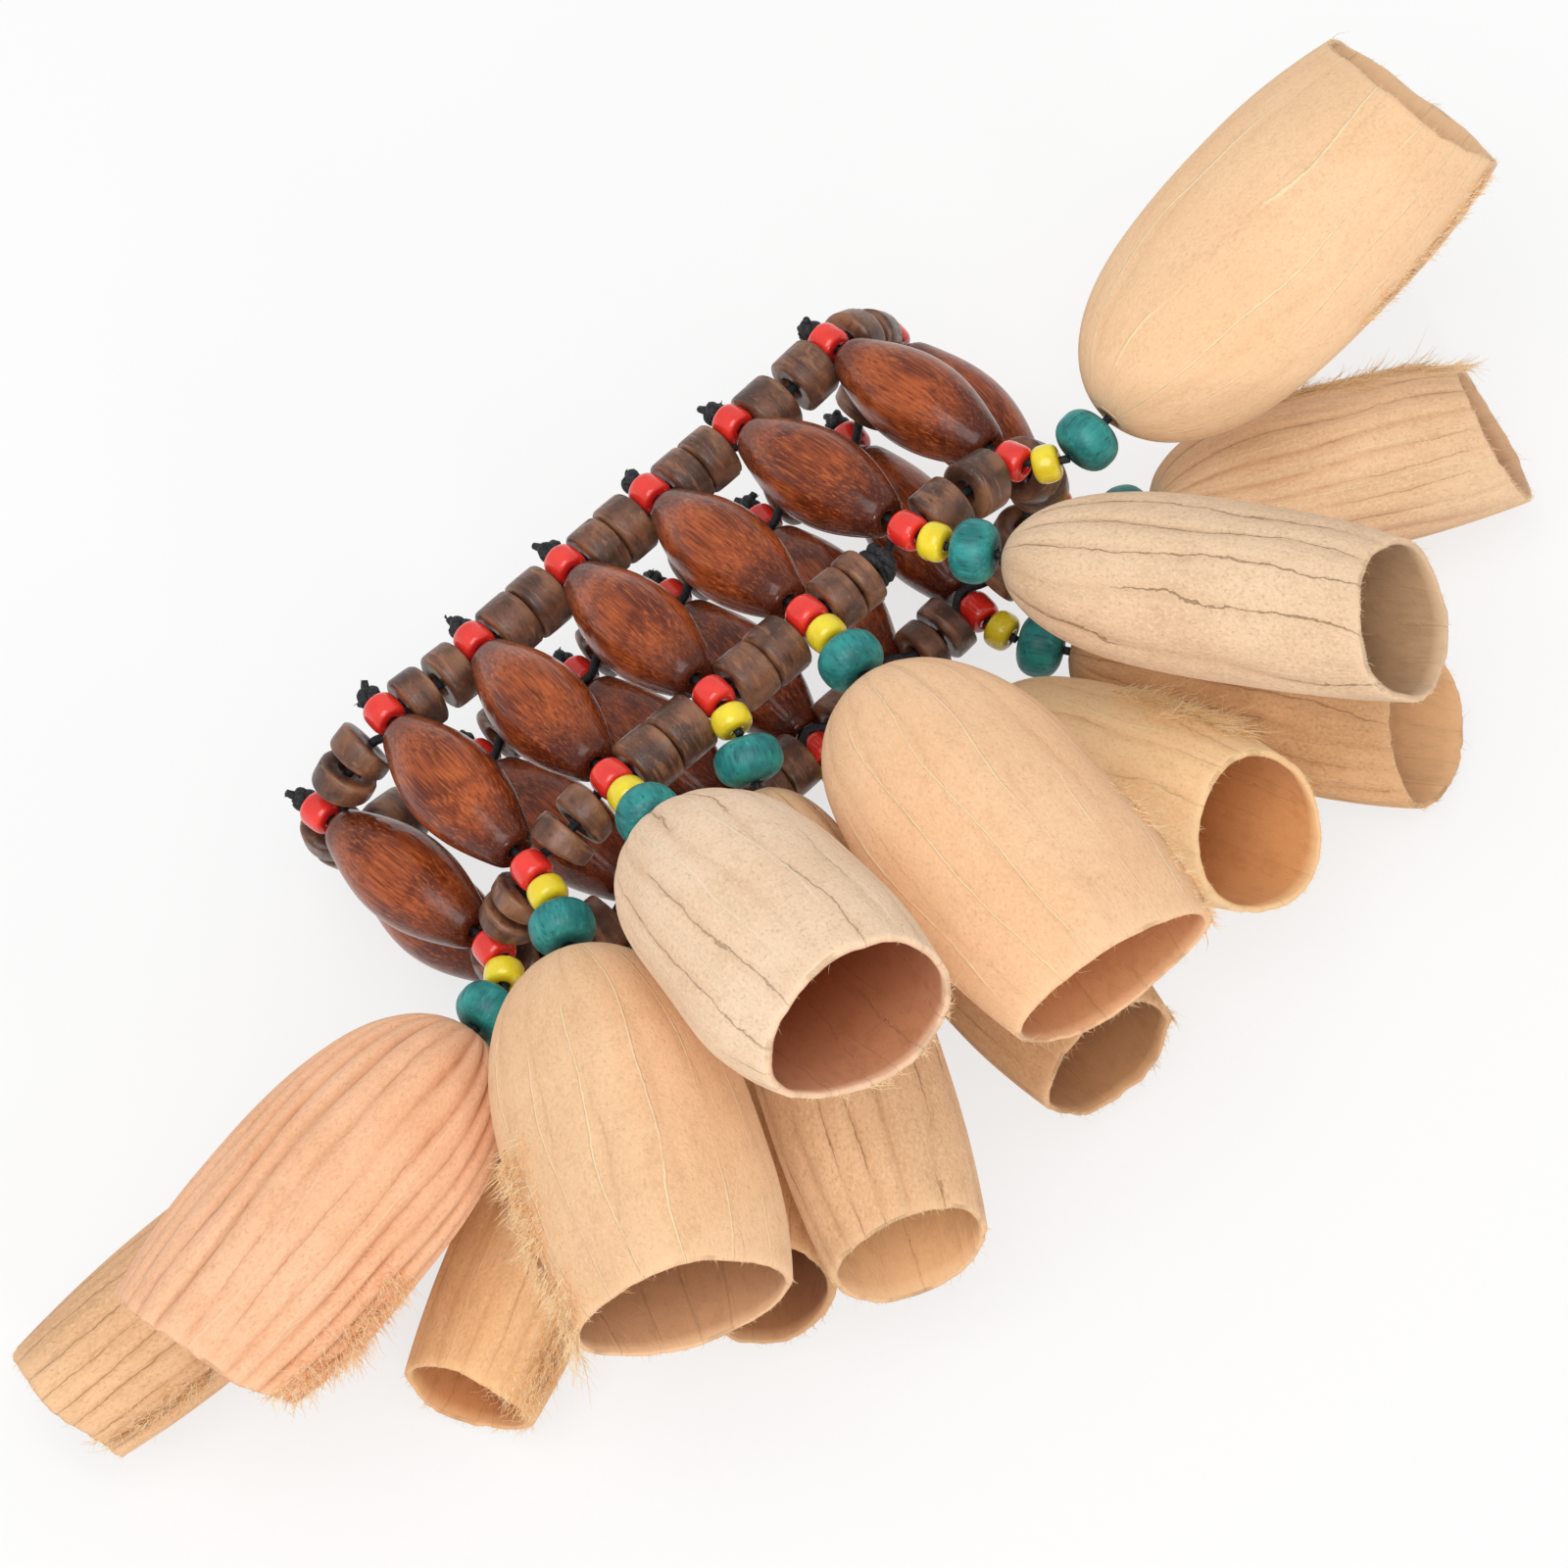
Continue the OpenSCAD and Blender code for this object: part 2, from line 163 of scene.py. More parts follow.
teal_at = yellow_at + unit(yellow_way + shell_way) * (
    (YELLOW_LEN + TEAL_LEN) / 2 + BEAD_GAP + bend_room(yellow_way, shell_way, yellow_flat + teal_flat))
shell_at = teal_at + (TEAL_LEN / 2 + teal_flat * math.sin(SWING_UP) + BEAD_GAP) * shell_way
top_knot_at = upper_red_at - (RED_LEN / 2 + BEAD_GAP + TOP_KNOT_D / 2) * string_way


def frames(way):
    """Two ways square to each way and to each other: the first leans to -Z, the second stays level."""
    flat = np.hypot(way[..., 0], way[..., 1])
    side = np.stack([-way[..., 1] / flat, way[..., 0] / flat, 0 * flat], -1)
    return np.cross(side, way), side


def quads(rows, columns, wrap_rows, wrap_columns):
    """Corner numbers of a grid's faces, which point outwards where rows go along and columns go round."""
    r, c = np.meshgrid(np.arange(rows if wrap_rows else rows - 1),
                       np.arange(columns if wrap_columns else columns - 1), indexing="ij")
    r1, c1 = (r + 1) % rows, (c + 1) % columns
    return np.stack([r * columns + c, r * columns + c1, r1 * columns + c1, r1 * columns + c], -1).reshape(-1, 4)


def build(name, points, wrap_rows, material, body, slot, nodes=(), **values):
    """One mesh from grids [..., rows, columns, 3] whose columns close on themselves. Each of values is an
    attribute with one number or one vector for each point."""
    rows, columns = points.shape[-3:-1]
    flat = points.reshape(-1, 3)
    grids = len(flat) // (rows * columns)
    faces = quads(rows, columns, wrap_rows, True)
    faces = (faces[None] + rows * columns * np.arange(grids)[:, None, None]).reshape(-1, 4)
    mesh = bpy.data.meshes.new(name)
    mesh.vertices.add(len(flat))
    mesh.vertices.foreach_set("co", (flat * MM).astype(np.float32).ravel())
    mesh.loops.add(faces.size)
    mesh.loops.foreach_set("vertex_index", faces.astype(np.int32).ravel())
    mesh.polygons.add(len(faces))
    mesh.polygons.foreach_set("loop_start", np.arange(0, faces.size, 4, dtype=np.int32))
    mesh.polygons.foreach_set("use_smooth", np.ones(len(faces), bool))
    for key, value in values.items():
        vector = value.ndim == points.ndim
        layer = mesh.attributes.new(key, "FLOAT_VECTOR" if vector else "FLOAT", "POINT")
        layer.data.foreach_set("vector" if vector else "value", value.astype(np.float32).ravel())
    mesh.update(calc_edges=True)
    mesh.validate()
    mesh.materials.append(material)
    piece = bpy.data.objects.new(name, mesh)
    bpy.context.scene.collection.objects.link(piece)
    if body:
        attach(piece, body)
    if nodes:
        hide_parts(*nodes)
    return piece


def turned(profile, at, way, around, wobble=None):
    """Profiles of (radius, height) turned about ways: at + height * way + radius * (cos * u + sin * v).
    Returns the points [n, rows, around, 3] and the same in each bead's own axes, in centimetres."""
    u, v = frames(way)
    a = np.arange(around) / around * TAU
    r = profile[..., 0][..., None] * (1 if wobble is None else wobble)
    r = np.broadcast_to(r, (len(at), profile.shape[-2], around))
    h = np.broadcast_to(profile[..., 1][..., None], r.shape)
    x, y = r * np.cos(a), r * np.sin(a)
    points = (at[:, None, None] + h[..., None] * way[:, None, None]
              + x[..., None] * u[:, None, None] + y[..., None] * v[:, None, None])
    return points, np.stack([x, y, h], -1) / 10


def ringed(path, ahead, radius, around, beside):
    """Rings of points round the places of a path, each square to the way ahead there."""
    u = unit(np.cross(np.broadcast_to(beside, ahead.shape), ahead))
    v = np.cross(ahead, u)
    a = np.arange(around) / around * TAU
    ring = np.cos(a)[:, None] * u[..., None, :] + np.sin(a)[:, None] * v[..., None, :]
    return path[..., None, :] + radius[..., None, None] * ring


def tubes(path, radius, around, beside):
    """Round tubes along open paths [n, rows, 3], drawn in to a point at both ends."""
    ahead = np.gradient(path, axis=1)
    path = np.concatenate([path[:, :1], path, path[:, -1:]], 1)
    ahead = unit(np.concatenate([ahead[:, :1], ahead, ahead[:, -1:]], 1))
    none = 0 * radius[:, :1]
    return ringed(path, ahead, np.concatenate([none, radius, none], 1), around, beside)


def srgb(r, g, b):
    """Linear colour of a screen colour given from 0 to 255."""
    c = np.array([r, g, b]) / 255
    return (*np.where(c < 0.04045, c / 12.92, ((c + 0.055) / 1.055) ** 2.4), 1.0)


def shade_of(tone, factor):
    """A screen tone made lighter or darker in linear light, by one factor or by one for each channel."""
    return (*np.minimum(1.0, np.array(srgb(*tone)[:3]) * factor), 1.0)


class Finish:
    """A material with its shader, and short calls for the nodes that the finishes share."""

    def __init__(self, name, **sockets):
        self.material = bpy.data.materials.new(name)
        self.material.use_nodes = True
        self.tree = self.material.node_tree
        self.shader = self.tree.nodes["Principled BSDF"]
        for key, value in sockets.items():
            self.shader.inputs[key.replace("_", " ")].default_value = value

    def put(self, socket, value):
        if isinstance(value, bpy.types.NodeSocket):
            self.tree.links.new(value, socket)
        else:
            socket.default_value = value

    def node(self, kind, inputs, output=0, **settings):
        made = self.tree.nodes.new("ShaderNode" + kind)
        for key, value in settings.items():
            setattr(made, key, value)
        for key, value in inputs.items():
            self.put(made.inputs[key], value)
        return made.outputs[output]

    def attribute(self, name, output="Vector"):
        return self.node("Attribute", {}, output, attribute_name=name)

    def own_place(self, axes=(0, 1, 2)):
        """Place in a bead's own axes, moved by the bead's own pick so that no two beads share their grain."""
        pick = self.attribute("pick", "Fac")
        shift = self.node("CombineXYZ", {axis: pick for axis in axes})
        return self.node("VectorMath", {0: self.attribute("grain"), 1: shift}, operation="ADD")

    def spread(self, vector, x, y, z):
        return self.node("VectorMath", {0: vector, 1: (x, y, z)}, operation="MULTIPLY")

    def moved(self, vector, x, y, z):
        return self.node("VectorMath", {0: vector, 1: (x, y, z)}, operation="ADD")

    def noise(self, vector, scale, detail=3.0, roughness=0.55, distortion=0.0):
        return self.node("TexNoise", {"Vector": vector, "Scale": scale, "Detail": detail,
                                      "Roughness": roughness, "Distortion": distortion})

    def line(self, name, shift, wide, thin):
        """1 on thin lines where an attribute's (cos, sin) pair passes the angle 0, moved aside by shift."""
        pair = self.node("SeparateXYZ", {0: self.attribute(name)}, 0).node
        off = self.sum(self.sum(pair.outputs[1], shift), 0.0, "ABSOLUTE")
        return self.times(self.part(off, wide, thin), self.part(pair.outputs[0], 0.0, 0.3))

    def sum(self, a, b, operation="ADD", clamp=False):
        return self.node("Math", {0: a, 1: b}, operation=operation, use_clamp=clamp)

    def times(self, a, b):
        return self.sum(a, b, "MULTIPLY")

    def part(self, value, low, high, to_low=0.0, to_high=1.0):
        return self.node("MapRange", {"Value": value, "From Min": low, "From Max": high, "To Min": to_low,
                                      "To Max": to_high}, interpolation_type="SMOOTHSTEP")

    def mix(self, share, a, b):
        return self.node("Mix", {0: share, 6: a, 7: b}, 2, data_type="RGBA")

    def tint(self, colour, tone, value, low, high, share):
        """The colour moved towards a tone, from not at all to a share, as value goes from low to high."""
        return self.mix(self.part(value, low, high, 0.0, share), colour, tone)

    def bump(self, height, strength, distance, normal=None):
        inputs = {"Height": height, "Strength": strength, "Distance": distance * MM}
        if normal is not None:
            inputs["Normal"] = normal
        return self.node("Bump", inputs)

    def finish(self, colour=None, roughness=None, normal=None):
        for key, value in (("Base Color", colour), ("Roughness", roughness), ("Normal", normal)):
            if value is not None:
                self.put(self.shader.inputs[key], value)
        return self.material


def polished_wood():
    """Varnished red-brown wood: hair-fine grain along the bead, dark ends, a wavy gloss coat, and pale painted
    glints on small pits near the ends.
    """
    f = Finish("polished_wood", Coat_Weight=0.3, Coat_Roughness=0.13, Specular_IOR_Level=0.2)
    at = f.own_place((0, 2))
    far = f.attribute("end", "Fac")
    lines = f.noise(f.spread(at, 1, 1, 0.06), 34.0, 4.0, 0.6, 0.2)
    dashes = f.noise(f.spread(at, 1, 1, 0.14), 64.0, 2.0, 0.5)
    bands = f.noise(f.spread(at, 1, 1, 0.7), 1.9, 2.0)
    waves = f.noise(at, 5.0, 2.0)
    specks = f.noise(at, 34.0, 2.0, 0.6)
    colour = f.mix(f.part(bands, 0.32, 0.68), srgb(104, 43, 23), srgb(172, 84, 43))
    colour = f.tint(colour, srgb(204, 112, 60), lines, 0.5, 0.66, 0.55)
    colour = f.tint(colour, srgb(74, 30, 17), lines, 0.49, 0.34, 0.6)
    colour = f.tint(colour, srgb(66, 26, 15), dashes, 0.42, 0.28, 0.4)
    colour = f.tint(colour, srgb(66, 26, 18), far, 0.45, 1.0, 0.75)
    # Pale specks near the ends: painted glints, on small pits that also roughen and bump the varnish
    pits_and_glints = f.times(f.part(specks, 0.62, 0.74), f.part(far, 0.4, 0.9, 0.05, 1.0))
    colour = f.mix(f.times(pits_and_glints, 0.3), colour, srgb(190, 140, 112))
    normal = f.bump(waves, 0.35, 0.5)
    normal = f.bump(lines, 0.15, 0.1, normal)
    normal = f.bump(pits_and_glints, 0.4, 0.2, normal)
    return f.finish(colour, f.sum(0.26, f.times(pits_and_glints, 0.2)), normal)


def coconut():
    """Polished coconut shell: dark brown with lighter layers and flecks, and tan where an edge is rubbed."""
    f = Finish("coconut", Coat_Weight=0.3, Coat_Roughness=0.28)
    at = f.own_place()
    edge = f.attribute("edge", "Fac")
    layers = f.noise(f.spread(at, 0.5, 0.5, 3.0), 5.0, 3.0, 0.6, 0.5)
    flecks = f.noise(f.spread(at, 1, 1, 2.4), 16.0, 3.0, 0.65, 0.4)
    cloud = f.noise(at, 2.4, 2.0)
    colour = f.mix(f.part(cloud, 0.32, 0.68), srgb(72, 45, 34), srgb(128, 82, 58))
    colour = f.tint(colour, srgb(164, 112, 78), layers, 0.54, 0.68, 0.6)
    colour = f.tint(colour, srgb(52, 33, 28), layers, 0.45, 0.32, 0.6)
    colour = f.tint(colour, srgb(158, 112, 82), flecks, 0.56, 0.74, 0.5)
    colour = f.tint(colour, srgb(44, 27, 22), flecks, 0.44, 0.28, 0.6)
    worn = f.times(edge, f.part(cloud, 0.4, 0.7, 0.1, 0.8))
    colour = f.mix(f.times(worn, 0.55), colour, srgb(176, 126, 88))
    normal = f.bump(layers, 0.3, 0.3)
    normal = f.bump(flecks, 0.3, 0.2, normal)
    return f.finish(colour, f.part(flecks, 0.3, 0.7, 0.5, 0.36), normal)


def glossy(name, main, deep):
    """Glossy seed bead: nearly even colour, deeper round the bore, with a few small dents in the glaze."""
    f = Finish(name, Coat_Weight=0.5, Coat_Roughness=0.06)
    at = f.own_place()
    far = f.attribute("end", "Fac")
    cloud = f.noise(at, 5.0, 2.0)
    dents = f.noise(at, 16.0, 2.0)
    colour = f.tint(main, deep, cloud, 0.3, 0.75, 0.4)
    colour = f.tint(colour, deep, far, 0.75, 1.0, 0.8)
    return f.finish(colour, f.part(dents, 0.3, 0.7, 0.18, 0.3), f.bump(dents, 0.18, 0.15))


def teal_wood():
    """Teal-dyed wood: streaks along the bore, paler where the dye is thin, dark at the flat ends."""
    f = Finish("teal_wood", Coat_Weight=0.12, Coat_Roughness=0.3)
    at = f.own_place()
    far = f.attribute("end", "Fac")
    lines = f.noise(f.spread(at, 1, 1, 0.14), 22.0, 4.0, 0.65, 0.3)
    cloud = f.noise(at, 3.5, 2.0)
    colour = f.mix(f.part(cloud, 0.3, 0.7), srgb(12, 112, 114), srgb(40, 154, 150))
    colour = f.tint(colour, srgb(78, 184, 174), lines, 0.54, 0.72, 0.55)
    colour = f.tint(colour, srgb(5, 62, 64), lines, 0.46, 0.3, 0.75)
    colour = f.tint(colour, srgb(6, 52, 54), far, 0.8, 1.0, 0.75)
    return f.finish(colour, f.part(lines, 0.3, 0.7, 0.58, 0.42), f.bump(lines, 0.35, 0.2))


def black_cord():
    """Waxed black cord: fine twisted fibres with a faint grey shine."""
    f = Finish("black_cord")
    at = f.node("TexCoord", {}, "Object")
    fibres = f.noise(f.spread(at, 1000, 1000, 1000), 3.2, 3.0, 0.7)
    colour = f.mix(f.part(fibres, 0.35, 0.75), srgb(14, 15, 18), srgb(48, 50, 56))
    return f.finish(colour, f.part(fibres, 0.3, 0.7, 0.75, 0.5), f.bump(fibres, 0.6, 0.15))


# Each shell's own look, by its number: outside tone, its shade, inside tone, cracks, pale veins, dark streaks,
# wrinkle depth in mm, wrinkle count, how far the wrinkles reach from the tip, the torn rim's depth in mm, and
# how much the flanks are flattened towards two keels
LOOKS = [
    ((250, 206, 164), (240, 190, 144), (238, 172, 118), 0.12, 0.9, 0.1, 0.12, 13, 0.9, 0.5, 0.8),
    ((238, 206, 172), (220, 184, 148), (174, 134, 96), 1.0, 0.25, 0.2, 0.26, 11, 1.1, 0.5, 0.3),
    ((252, 210, 167), (247, 200, 153), (240, 196, 152), 0.1, 0.9, 0.08, 0.08, 12, 1.0, 0.7, 0.6),
    ((246, 208, 168), (228, 184, 142), (198, 148, 112), 0.4, 0.4, 0.6, 0.32, 20, 1.1, 0.5, 0.3),
    ((226, 178, 132), (200, 148, 102), (232, 184, 136), 0.5, 0.3, 0.4, 0.24, 18, 1.1, 0.8, 0.5),
    ((254, 218, 170), (246, 198, 144), (222, 152, 88), 0.3, 0.45, 0.3, 0.24, 14, 1.0, 0.6, 0.3),
    ((234, 190, 146), (208, 160, 116), (196, 142, 96), 0.4, 0.3, 0.4, 0.24, 16, 1.1, 0.9, 0.9),
    ((236, 192, 146), (210, 162, 116), (166, 106, 68), 0.4, 0.3, 0.4, 0.24, 16, 1.1, 0.7, 0.4),
    ((248, 204, 154), (230, 178, 128), (216, 142, 84), 0.4, 0.3, 0.45, 0.3, 17, 1.1, 0.7, 0.4),
    ((242, 198, 154), (216, 166, 122), (196, 144, 102), 0.6, 0.25, 0.6, 0.36, 18, 1.2, 0.7, 0.4),
    ((252, 200, 162), (240, 176, 132), (220, 148, 104), 0.25, 0.35, 0.2, 0.7, 24, 1.25, 0.9, 0.7),
    ((246, 204, 162), (230, 184, 140), (212, 158, 114), 0.14, 1.0, 0.15, 0.12, 13, 0.9, 0.5, 0.8),
    ((250, 219, 188), (236, 198, 160), (208, 130, 78), 0.8, 0.4, 0.12, 0.2, 15, 1.0, 0.8, 0.3),
    ((238, 196, 154), (214, 170, 128), (232, 180, 128), 0.9, 0.25, 0.35, 0.34, 15, 1.2, 0.4, 0.4),
]

# Frayed places on the shells: shell number, middle turn and spread in degrees, t from and to, hairs, length in
# mm, how far they lean along the shell, and how far they stand out from it
TUFTS = [
    (1, 98, 8, 0.6, 1.0, 700, 2.2, 0.8, 0.45), (3, 268, 6, 0.5, 0.97, 500, 1.5, 0.7, 0.5),
    (4, 126, 6, 0.3, 1.0, 900, 4.5, 1.0, 0.12), (6, 134, 8, 0.45, 0.85, 1200, 5.0, 1.0, 0.08),
    (9, 118, 13, 0.4, 1.0, 1500, 3.2, 0.9, 0.2), (10, 112, 7, 0.6, 1.0, 600, 2.2, 0.9, 0.25),
    (11, 100, 10, 0.6, 1.0, 1500, 2.8, 0.5, 0.5), (12, 264, 9, 0.5, 1.0, 1500, 3.0, 0.6, 0.45),
    (12, 272, 5, 0.98, 1.0, 60, 6.0, 1.0, 0.2), (13, 20, 30, 0.98, 1.0, 120, 2.0, 1.0, 0.3),
    (7, 90, 40, 0.97, 1.0, 120, 2.0, 1.0, 0.3), (5, 200, 50, 0.9, 1.0, 60, 1.4, 1.0, 0.2),
]


def nutshell(i):
    """Dry nutshell: an even tone with suede-fine grain; long veins, cracks and streaks that follow the shell
    from its tip; painted shade in the creases and under the hairs of frayed places, and rim stains; and an
    inside in painted shade that gets darker and browner with its depth."""
    tone, shade, inner, cracks, veins, streaks = LOOKS[i][:6]
    f = Finish(f"nutshell_{i + 1:02d}", Specular_IOR_Level=0.15, Sheen_Weight=0.08, Sheen_Roughness=0.5)
    way = f.moved(f.attribute("grain"), 3.1 * i, 1.7 * i, 2.3 * i)
    hollow, rim, fold, fray = (f.attribute(name, "Fac") for name in ("hollow", "rim", "fold", "fray"))
    cloud = f.noise(way, 0.8, 2.0, 0.5)
    mottle = f.noise(f.spread(way, 1, 1, 0.6), 7.0, 3.0, 0.6)
    suede = f.noise(f.spread(way, 1, 1, 0.7), 27.0, 4.0, 0.75)
    long_lines = f.noise(f.spread(way, 1, 1, 0.07), 8.0, 3.0, 0.55, 0.3)
    jag = f.sum(f.noise(f.spread(way, 1, 1, 0.5), 5.0, 4.0, 0.65), -0.5)
    crack_where = f.part(f.noise(f.spread(way, 1, 1, 0.3), 1.6, 2.0), 0.44, 0.56)
    crack = f.times(f.line("crack_line", f.times(jag, 2.4), 0.16, 0.04), crack_where)
    vein_where = f.part(f.noise(f.spread(way, 1, 1, 0.25), 1.9, 2.0), 0.36, 0.52)
    vein = f.times(f.line("vein_line", f.times(jag, 0.6), 0.2, 0.05), vein_where)
    colour = f.tint(srgb(*tone), srgb(*shade), cloud, 0.3, 0.72, 0.55)
    colour = f.tint(colour, shade_of(shade, 0.78), long_lines, 0.5, 0.7, 0.03 + 0.45 * streaks)
    colour = f.tint(colour, shade_of(shade, 0.84), mottle, 0.48, 0.72, 0.3)
    colour = f.tint(colour, shade_of(tone, 1.16), suede, 0.5, 0.68, 0.45 + 0.2 * cracks)
    colour = f.tint(colour, shade_of(shade, 0.7), suede, 0.48, 0.3, 0.45 + 0.2 * cracks)
    # Painted shade in the creases, deepest along their valleys
    colour = f.mix(f.times(fold, 0.8), colour, shade_of(shade, (0.62, 0.45, 0.33)))
    colour = f.mix(f.times(vein, 0.85 * veins), colour, shade_of(tone, (1.2, 1.25, 1.3)))
    colour = f.mix(f.times(crack, 0.68 * cracks), colour, shade_of(shade, (0.36, 0.31, 0.25)))
    # Painted shade under the frayed places' hairs, broken by paler streaks
    hair_shade_streaks = f.part(f.noise(f.spread(way, 1, 1, 0.25), 15.0, 3.0, 0.6, 0.6), 0.4, 0.6, 0.2, 0.9)
    colour = f.mix(f.times(fray, hair_shade_streaks), colour, shade_of(shade, (0.46, 0.33, 0.21)))
    inside = tuple(0.25 * np.array(shade_of(tone, 0.85)) + 0.75 * np.array(shade_of(inner, 1.15)))
    # Painted shade: the inside darker and browner deeper into the hollow
    inside = f.tint(inside, shade_of(inner, (0.85, 0.66, 0.48)), hollow, 1.0, 2.0, 1.0)
    inside = f.tint(inside, shade_of(inner, 0.7), mottle, 0.45, 0.7, 0.25)
    inside = f.tint(inside, shade_of(inner, 1.3), suede, 0.48, 0.7, 0.25)
    colour = f.mix(f.sum(hollow, 1.0, "MINIMUM"), colour, inside)
    colour = f.mix(f.times(rim, 0.5), colour, shade_of(tone, 1.05))
    stain = f.times(f.part(f.noise(way, 1.4, 3.0), 0.54, 0.64), f.part(rim, 0.9, 1.0))
    colour = f.mix(f.times(stain, 0.45), colour, shade_of(shade, 0.5))
    height = f.times(mottle, 0.35)
    for value, share in ((suede, 0.7), (long_lines, 0.3), (vein, 0.8 * veins), (crack, -1.6 * cracks)):
        height = f.sum(height, f.times(value, share))
    return f.finish(colour, 0.85, f.bump(height, 0.6, 0.35))


def fibre_finish(i):
    """Dry straw-coloured fibre, from pale to golden by hair."""
    f = Finish(f"shell_fibre_{i + 1:02d}", Specular_IOR_Level=0.2)
    pick = f.attribute("pick", "Fac")
    colour = f.mix(f.part(pick, 0.2, 0.9), srgb(255, 236, 200), shade_of(LOOKS[i][0], (1.0, 0.92, 0.7)))
    return f.finish(colour, 0.8)


# Beads

def soft_ends(length, d, bore_r, rows, power=2.0):
    """Closed bead profile: a rounded flank from end to end with superellipse shoulders, then the bore."""
    a = np.linspace(-0.5, 0.5, rows) * math.pi
    flank_r = bore_r + (d / 2 - bore_r) * np.cos(a) ** (2 / power)
    flank_h = length / 2 * np.sign(a) * np.abs(np.sin(a)) ** (2 / (power + 0.4))
    return np.append(np.stack([flank_r, flank_h], -1), [[bore_r, length / 2 - 0.4], [bore_r, 0.4 - length / 2]], 0)


def wobbles(rng, count, rows, around, size):
    """Slow swells round a bead: three waves of random size and phase, the same at every height."""
    a = np.arange(around) / around * TAU
    waves = sum(rng.normal(0, size / n, (count, 1)) * np.cos(n * a + rng.uniform(0, TAU, (count, 1)))
                for n in (1, 2, 3))
    return 1 + np.broadcast_to(waves[:, None], (count, rows, around))


def small_beads(name, at, way, d, length, material, slot, body, nodes, seed, around=32, power=2.6):
    """Short rounded beads, each a little out of round and of slightly different size."""
    rng = np.random.default_rng(seed)
    profile = np.broadcast_to(soft_ends(length, d, BORE_R, 20, power), (len(at), 22, 2)).copy()
    profile[..., 0] *= 1 - rng.uniform(0, 0.05, (len(at), 1))
    profile[..., 1] *= 1 - rng.uniform(0, 0.05, (len(at), 1))
    points, local = turned(profile, at, way, around, wobbles(rng, len(at), 22, around, 0.008))
    end = np.broadcast_to(np.abs(profile[..., 1] / (length / 2))[..., None], points.shape[:-1])
    pick = np.broadcast_to(rng.uniform(0, 9, (len(at), 1, 1)), points.shape[:-1])
    return build(name, points, True, material, body, slot, nodes, grain=local, end=end, pick=pick)


def long_beads(material):
    """Spindle beads: radius = end + rise * sin(pi * s)^1.05, with eased ends, a slight lean of the belly and
    out-of-round waves."""
    rng = np.random.default_rng(21)
    s = np.linspace(0, 1, 44)
    flank = LONG_END_D / 2 + (LONG_D - LONG_END_D) / 2 * np.sin(math.pi * s) ** 1.05
    ease = 0.45 * np.exp(-np.minimum(s, 1 - s) * LONG_LEN / 0.35)
    flank_h = LONG_LEN * (s - 0.5)
    profile = np.stack([flank - ease, flank_h], -1)
    lips = np.array([[1.25, LONG_LEN / 2], [BORE_R, LONG_LEN / 2 - 0.25], [BORE_R, 0.25 - LONG_LEN / 2],
                     [1.25, -LONG_LEN / 2]])
    profile = np.append(profile, lips, 0)
    middle = (rim_up + rim_down) / 2
    for i in STATIONS:
        own = profile.copy()
        own[:44, 0] *= 1 - rng.uniform(0.0, 0.03)
        own[:44, 0] *= 1 + 0.02 * rng.uniform(-1, 1) * np.sin(TAU * s)
        points, local = turned(own[None], middle[i:i + 1], string_way[i:i + 1], 56,
                               wobbles(rng, 1, len(own), 56, 0.006))
        end = np.broadcast_to(np.abs(own[:, 1] / (LONG_LEN / 2))[:, None], points.shape[1:3])[None]
        pick = np.full(points.shape[:-1], rng.uniform(0, 20))
        build(f"long_bead_{i + 1:02d}_wood", points, True, material, "band", "polished_wood",
              [f"long_bead_{i + 1:02d}"], grain=local, end=end, pick=pick)


def run_values(side):
    """Every run between stations, as the solids have it: the two rings' thickness and places, the knot's place,
    the turn, and the bare elastic left beside the red beads."""
    loop = UPPER_LOOP if side == UP else LOWER_LOOP
    ends = [elastic_points(STATIONS, START + e, side) for e in (0, 1)]
    length = np.linalg.norm(ends[1] - ends[0], axis=-1)
    turn = [loop_places(shares_at(STATIONS, START + e, side), loop)[2] for e in (0, 1)]
    turn = np.mod(turn[1] - turn[0], TAU)
    depth = max(0, RING_D / 2 - RING_OUT - RIM_GAP / 2)
    flank = LONG_END_D / 2 + (LONG_D - LONG_END_D) / 2 * math.sin(math.pi * depth / LONG_LEN)
    station_half = max(flank, RED_D / 2) + BEAD_GAP
    room_depth = (RING_D / 2 + 2 * (flank - ELASTIC_INSET)) / 3
    knot = np.where((STATIONS == 0) & (side == DOWN), KNOT_LUMP_LEN + BEAD_GAP, 0)
    room = length * (1 - room_depth * turn / length) - 2 * station_half - knot - 4 * BEAD_GAP
    thick = np.minimum(RING_T, room / 2)
    tight = np.minimum(1 - RING_D / 2 * turn / length, 1 - RING_D / 2 / (loop[1] - ELASTIC_INSET))
    pitch = (thick + BEAD_GAP) / np.where(turn > 1e-6, tight, 1)
    places = [0.5 + ((n - 0.5) * pitch - knot / 2) / length for n in (0, 1)]
    bare = (length - 2 * thick - BEAD_GAP - knot - RED_D) / 2
    return thick, places, 0.5 + (pitch + BEAD_GAP / 2) / length, turn, bare


# How much longer a ring is drawn at each face than its solid, and the reach of its rounded shoulders
RING_SNUG, RING_ROUND = 0.1, 0.75


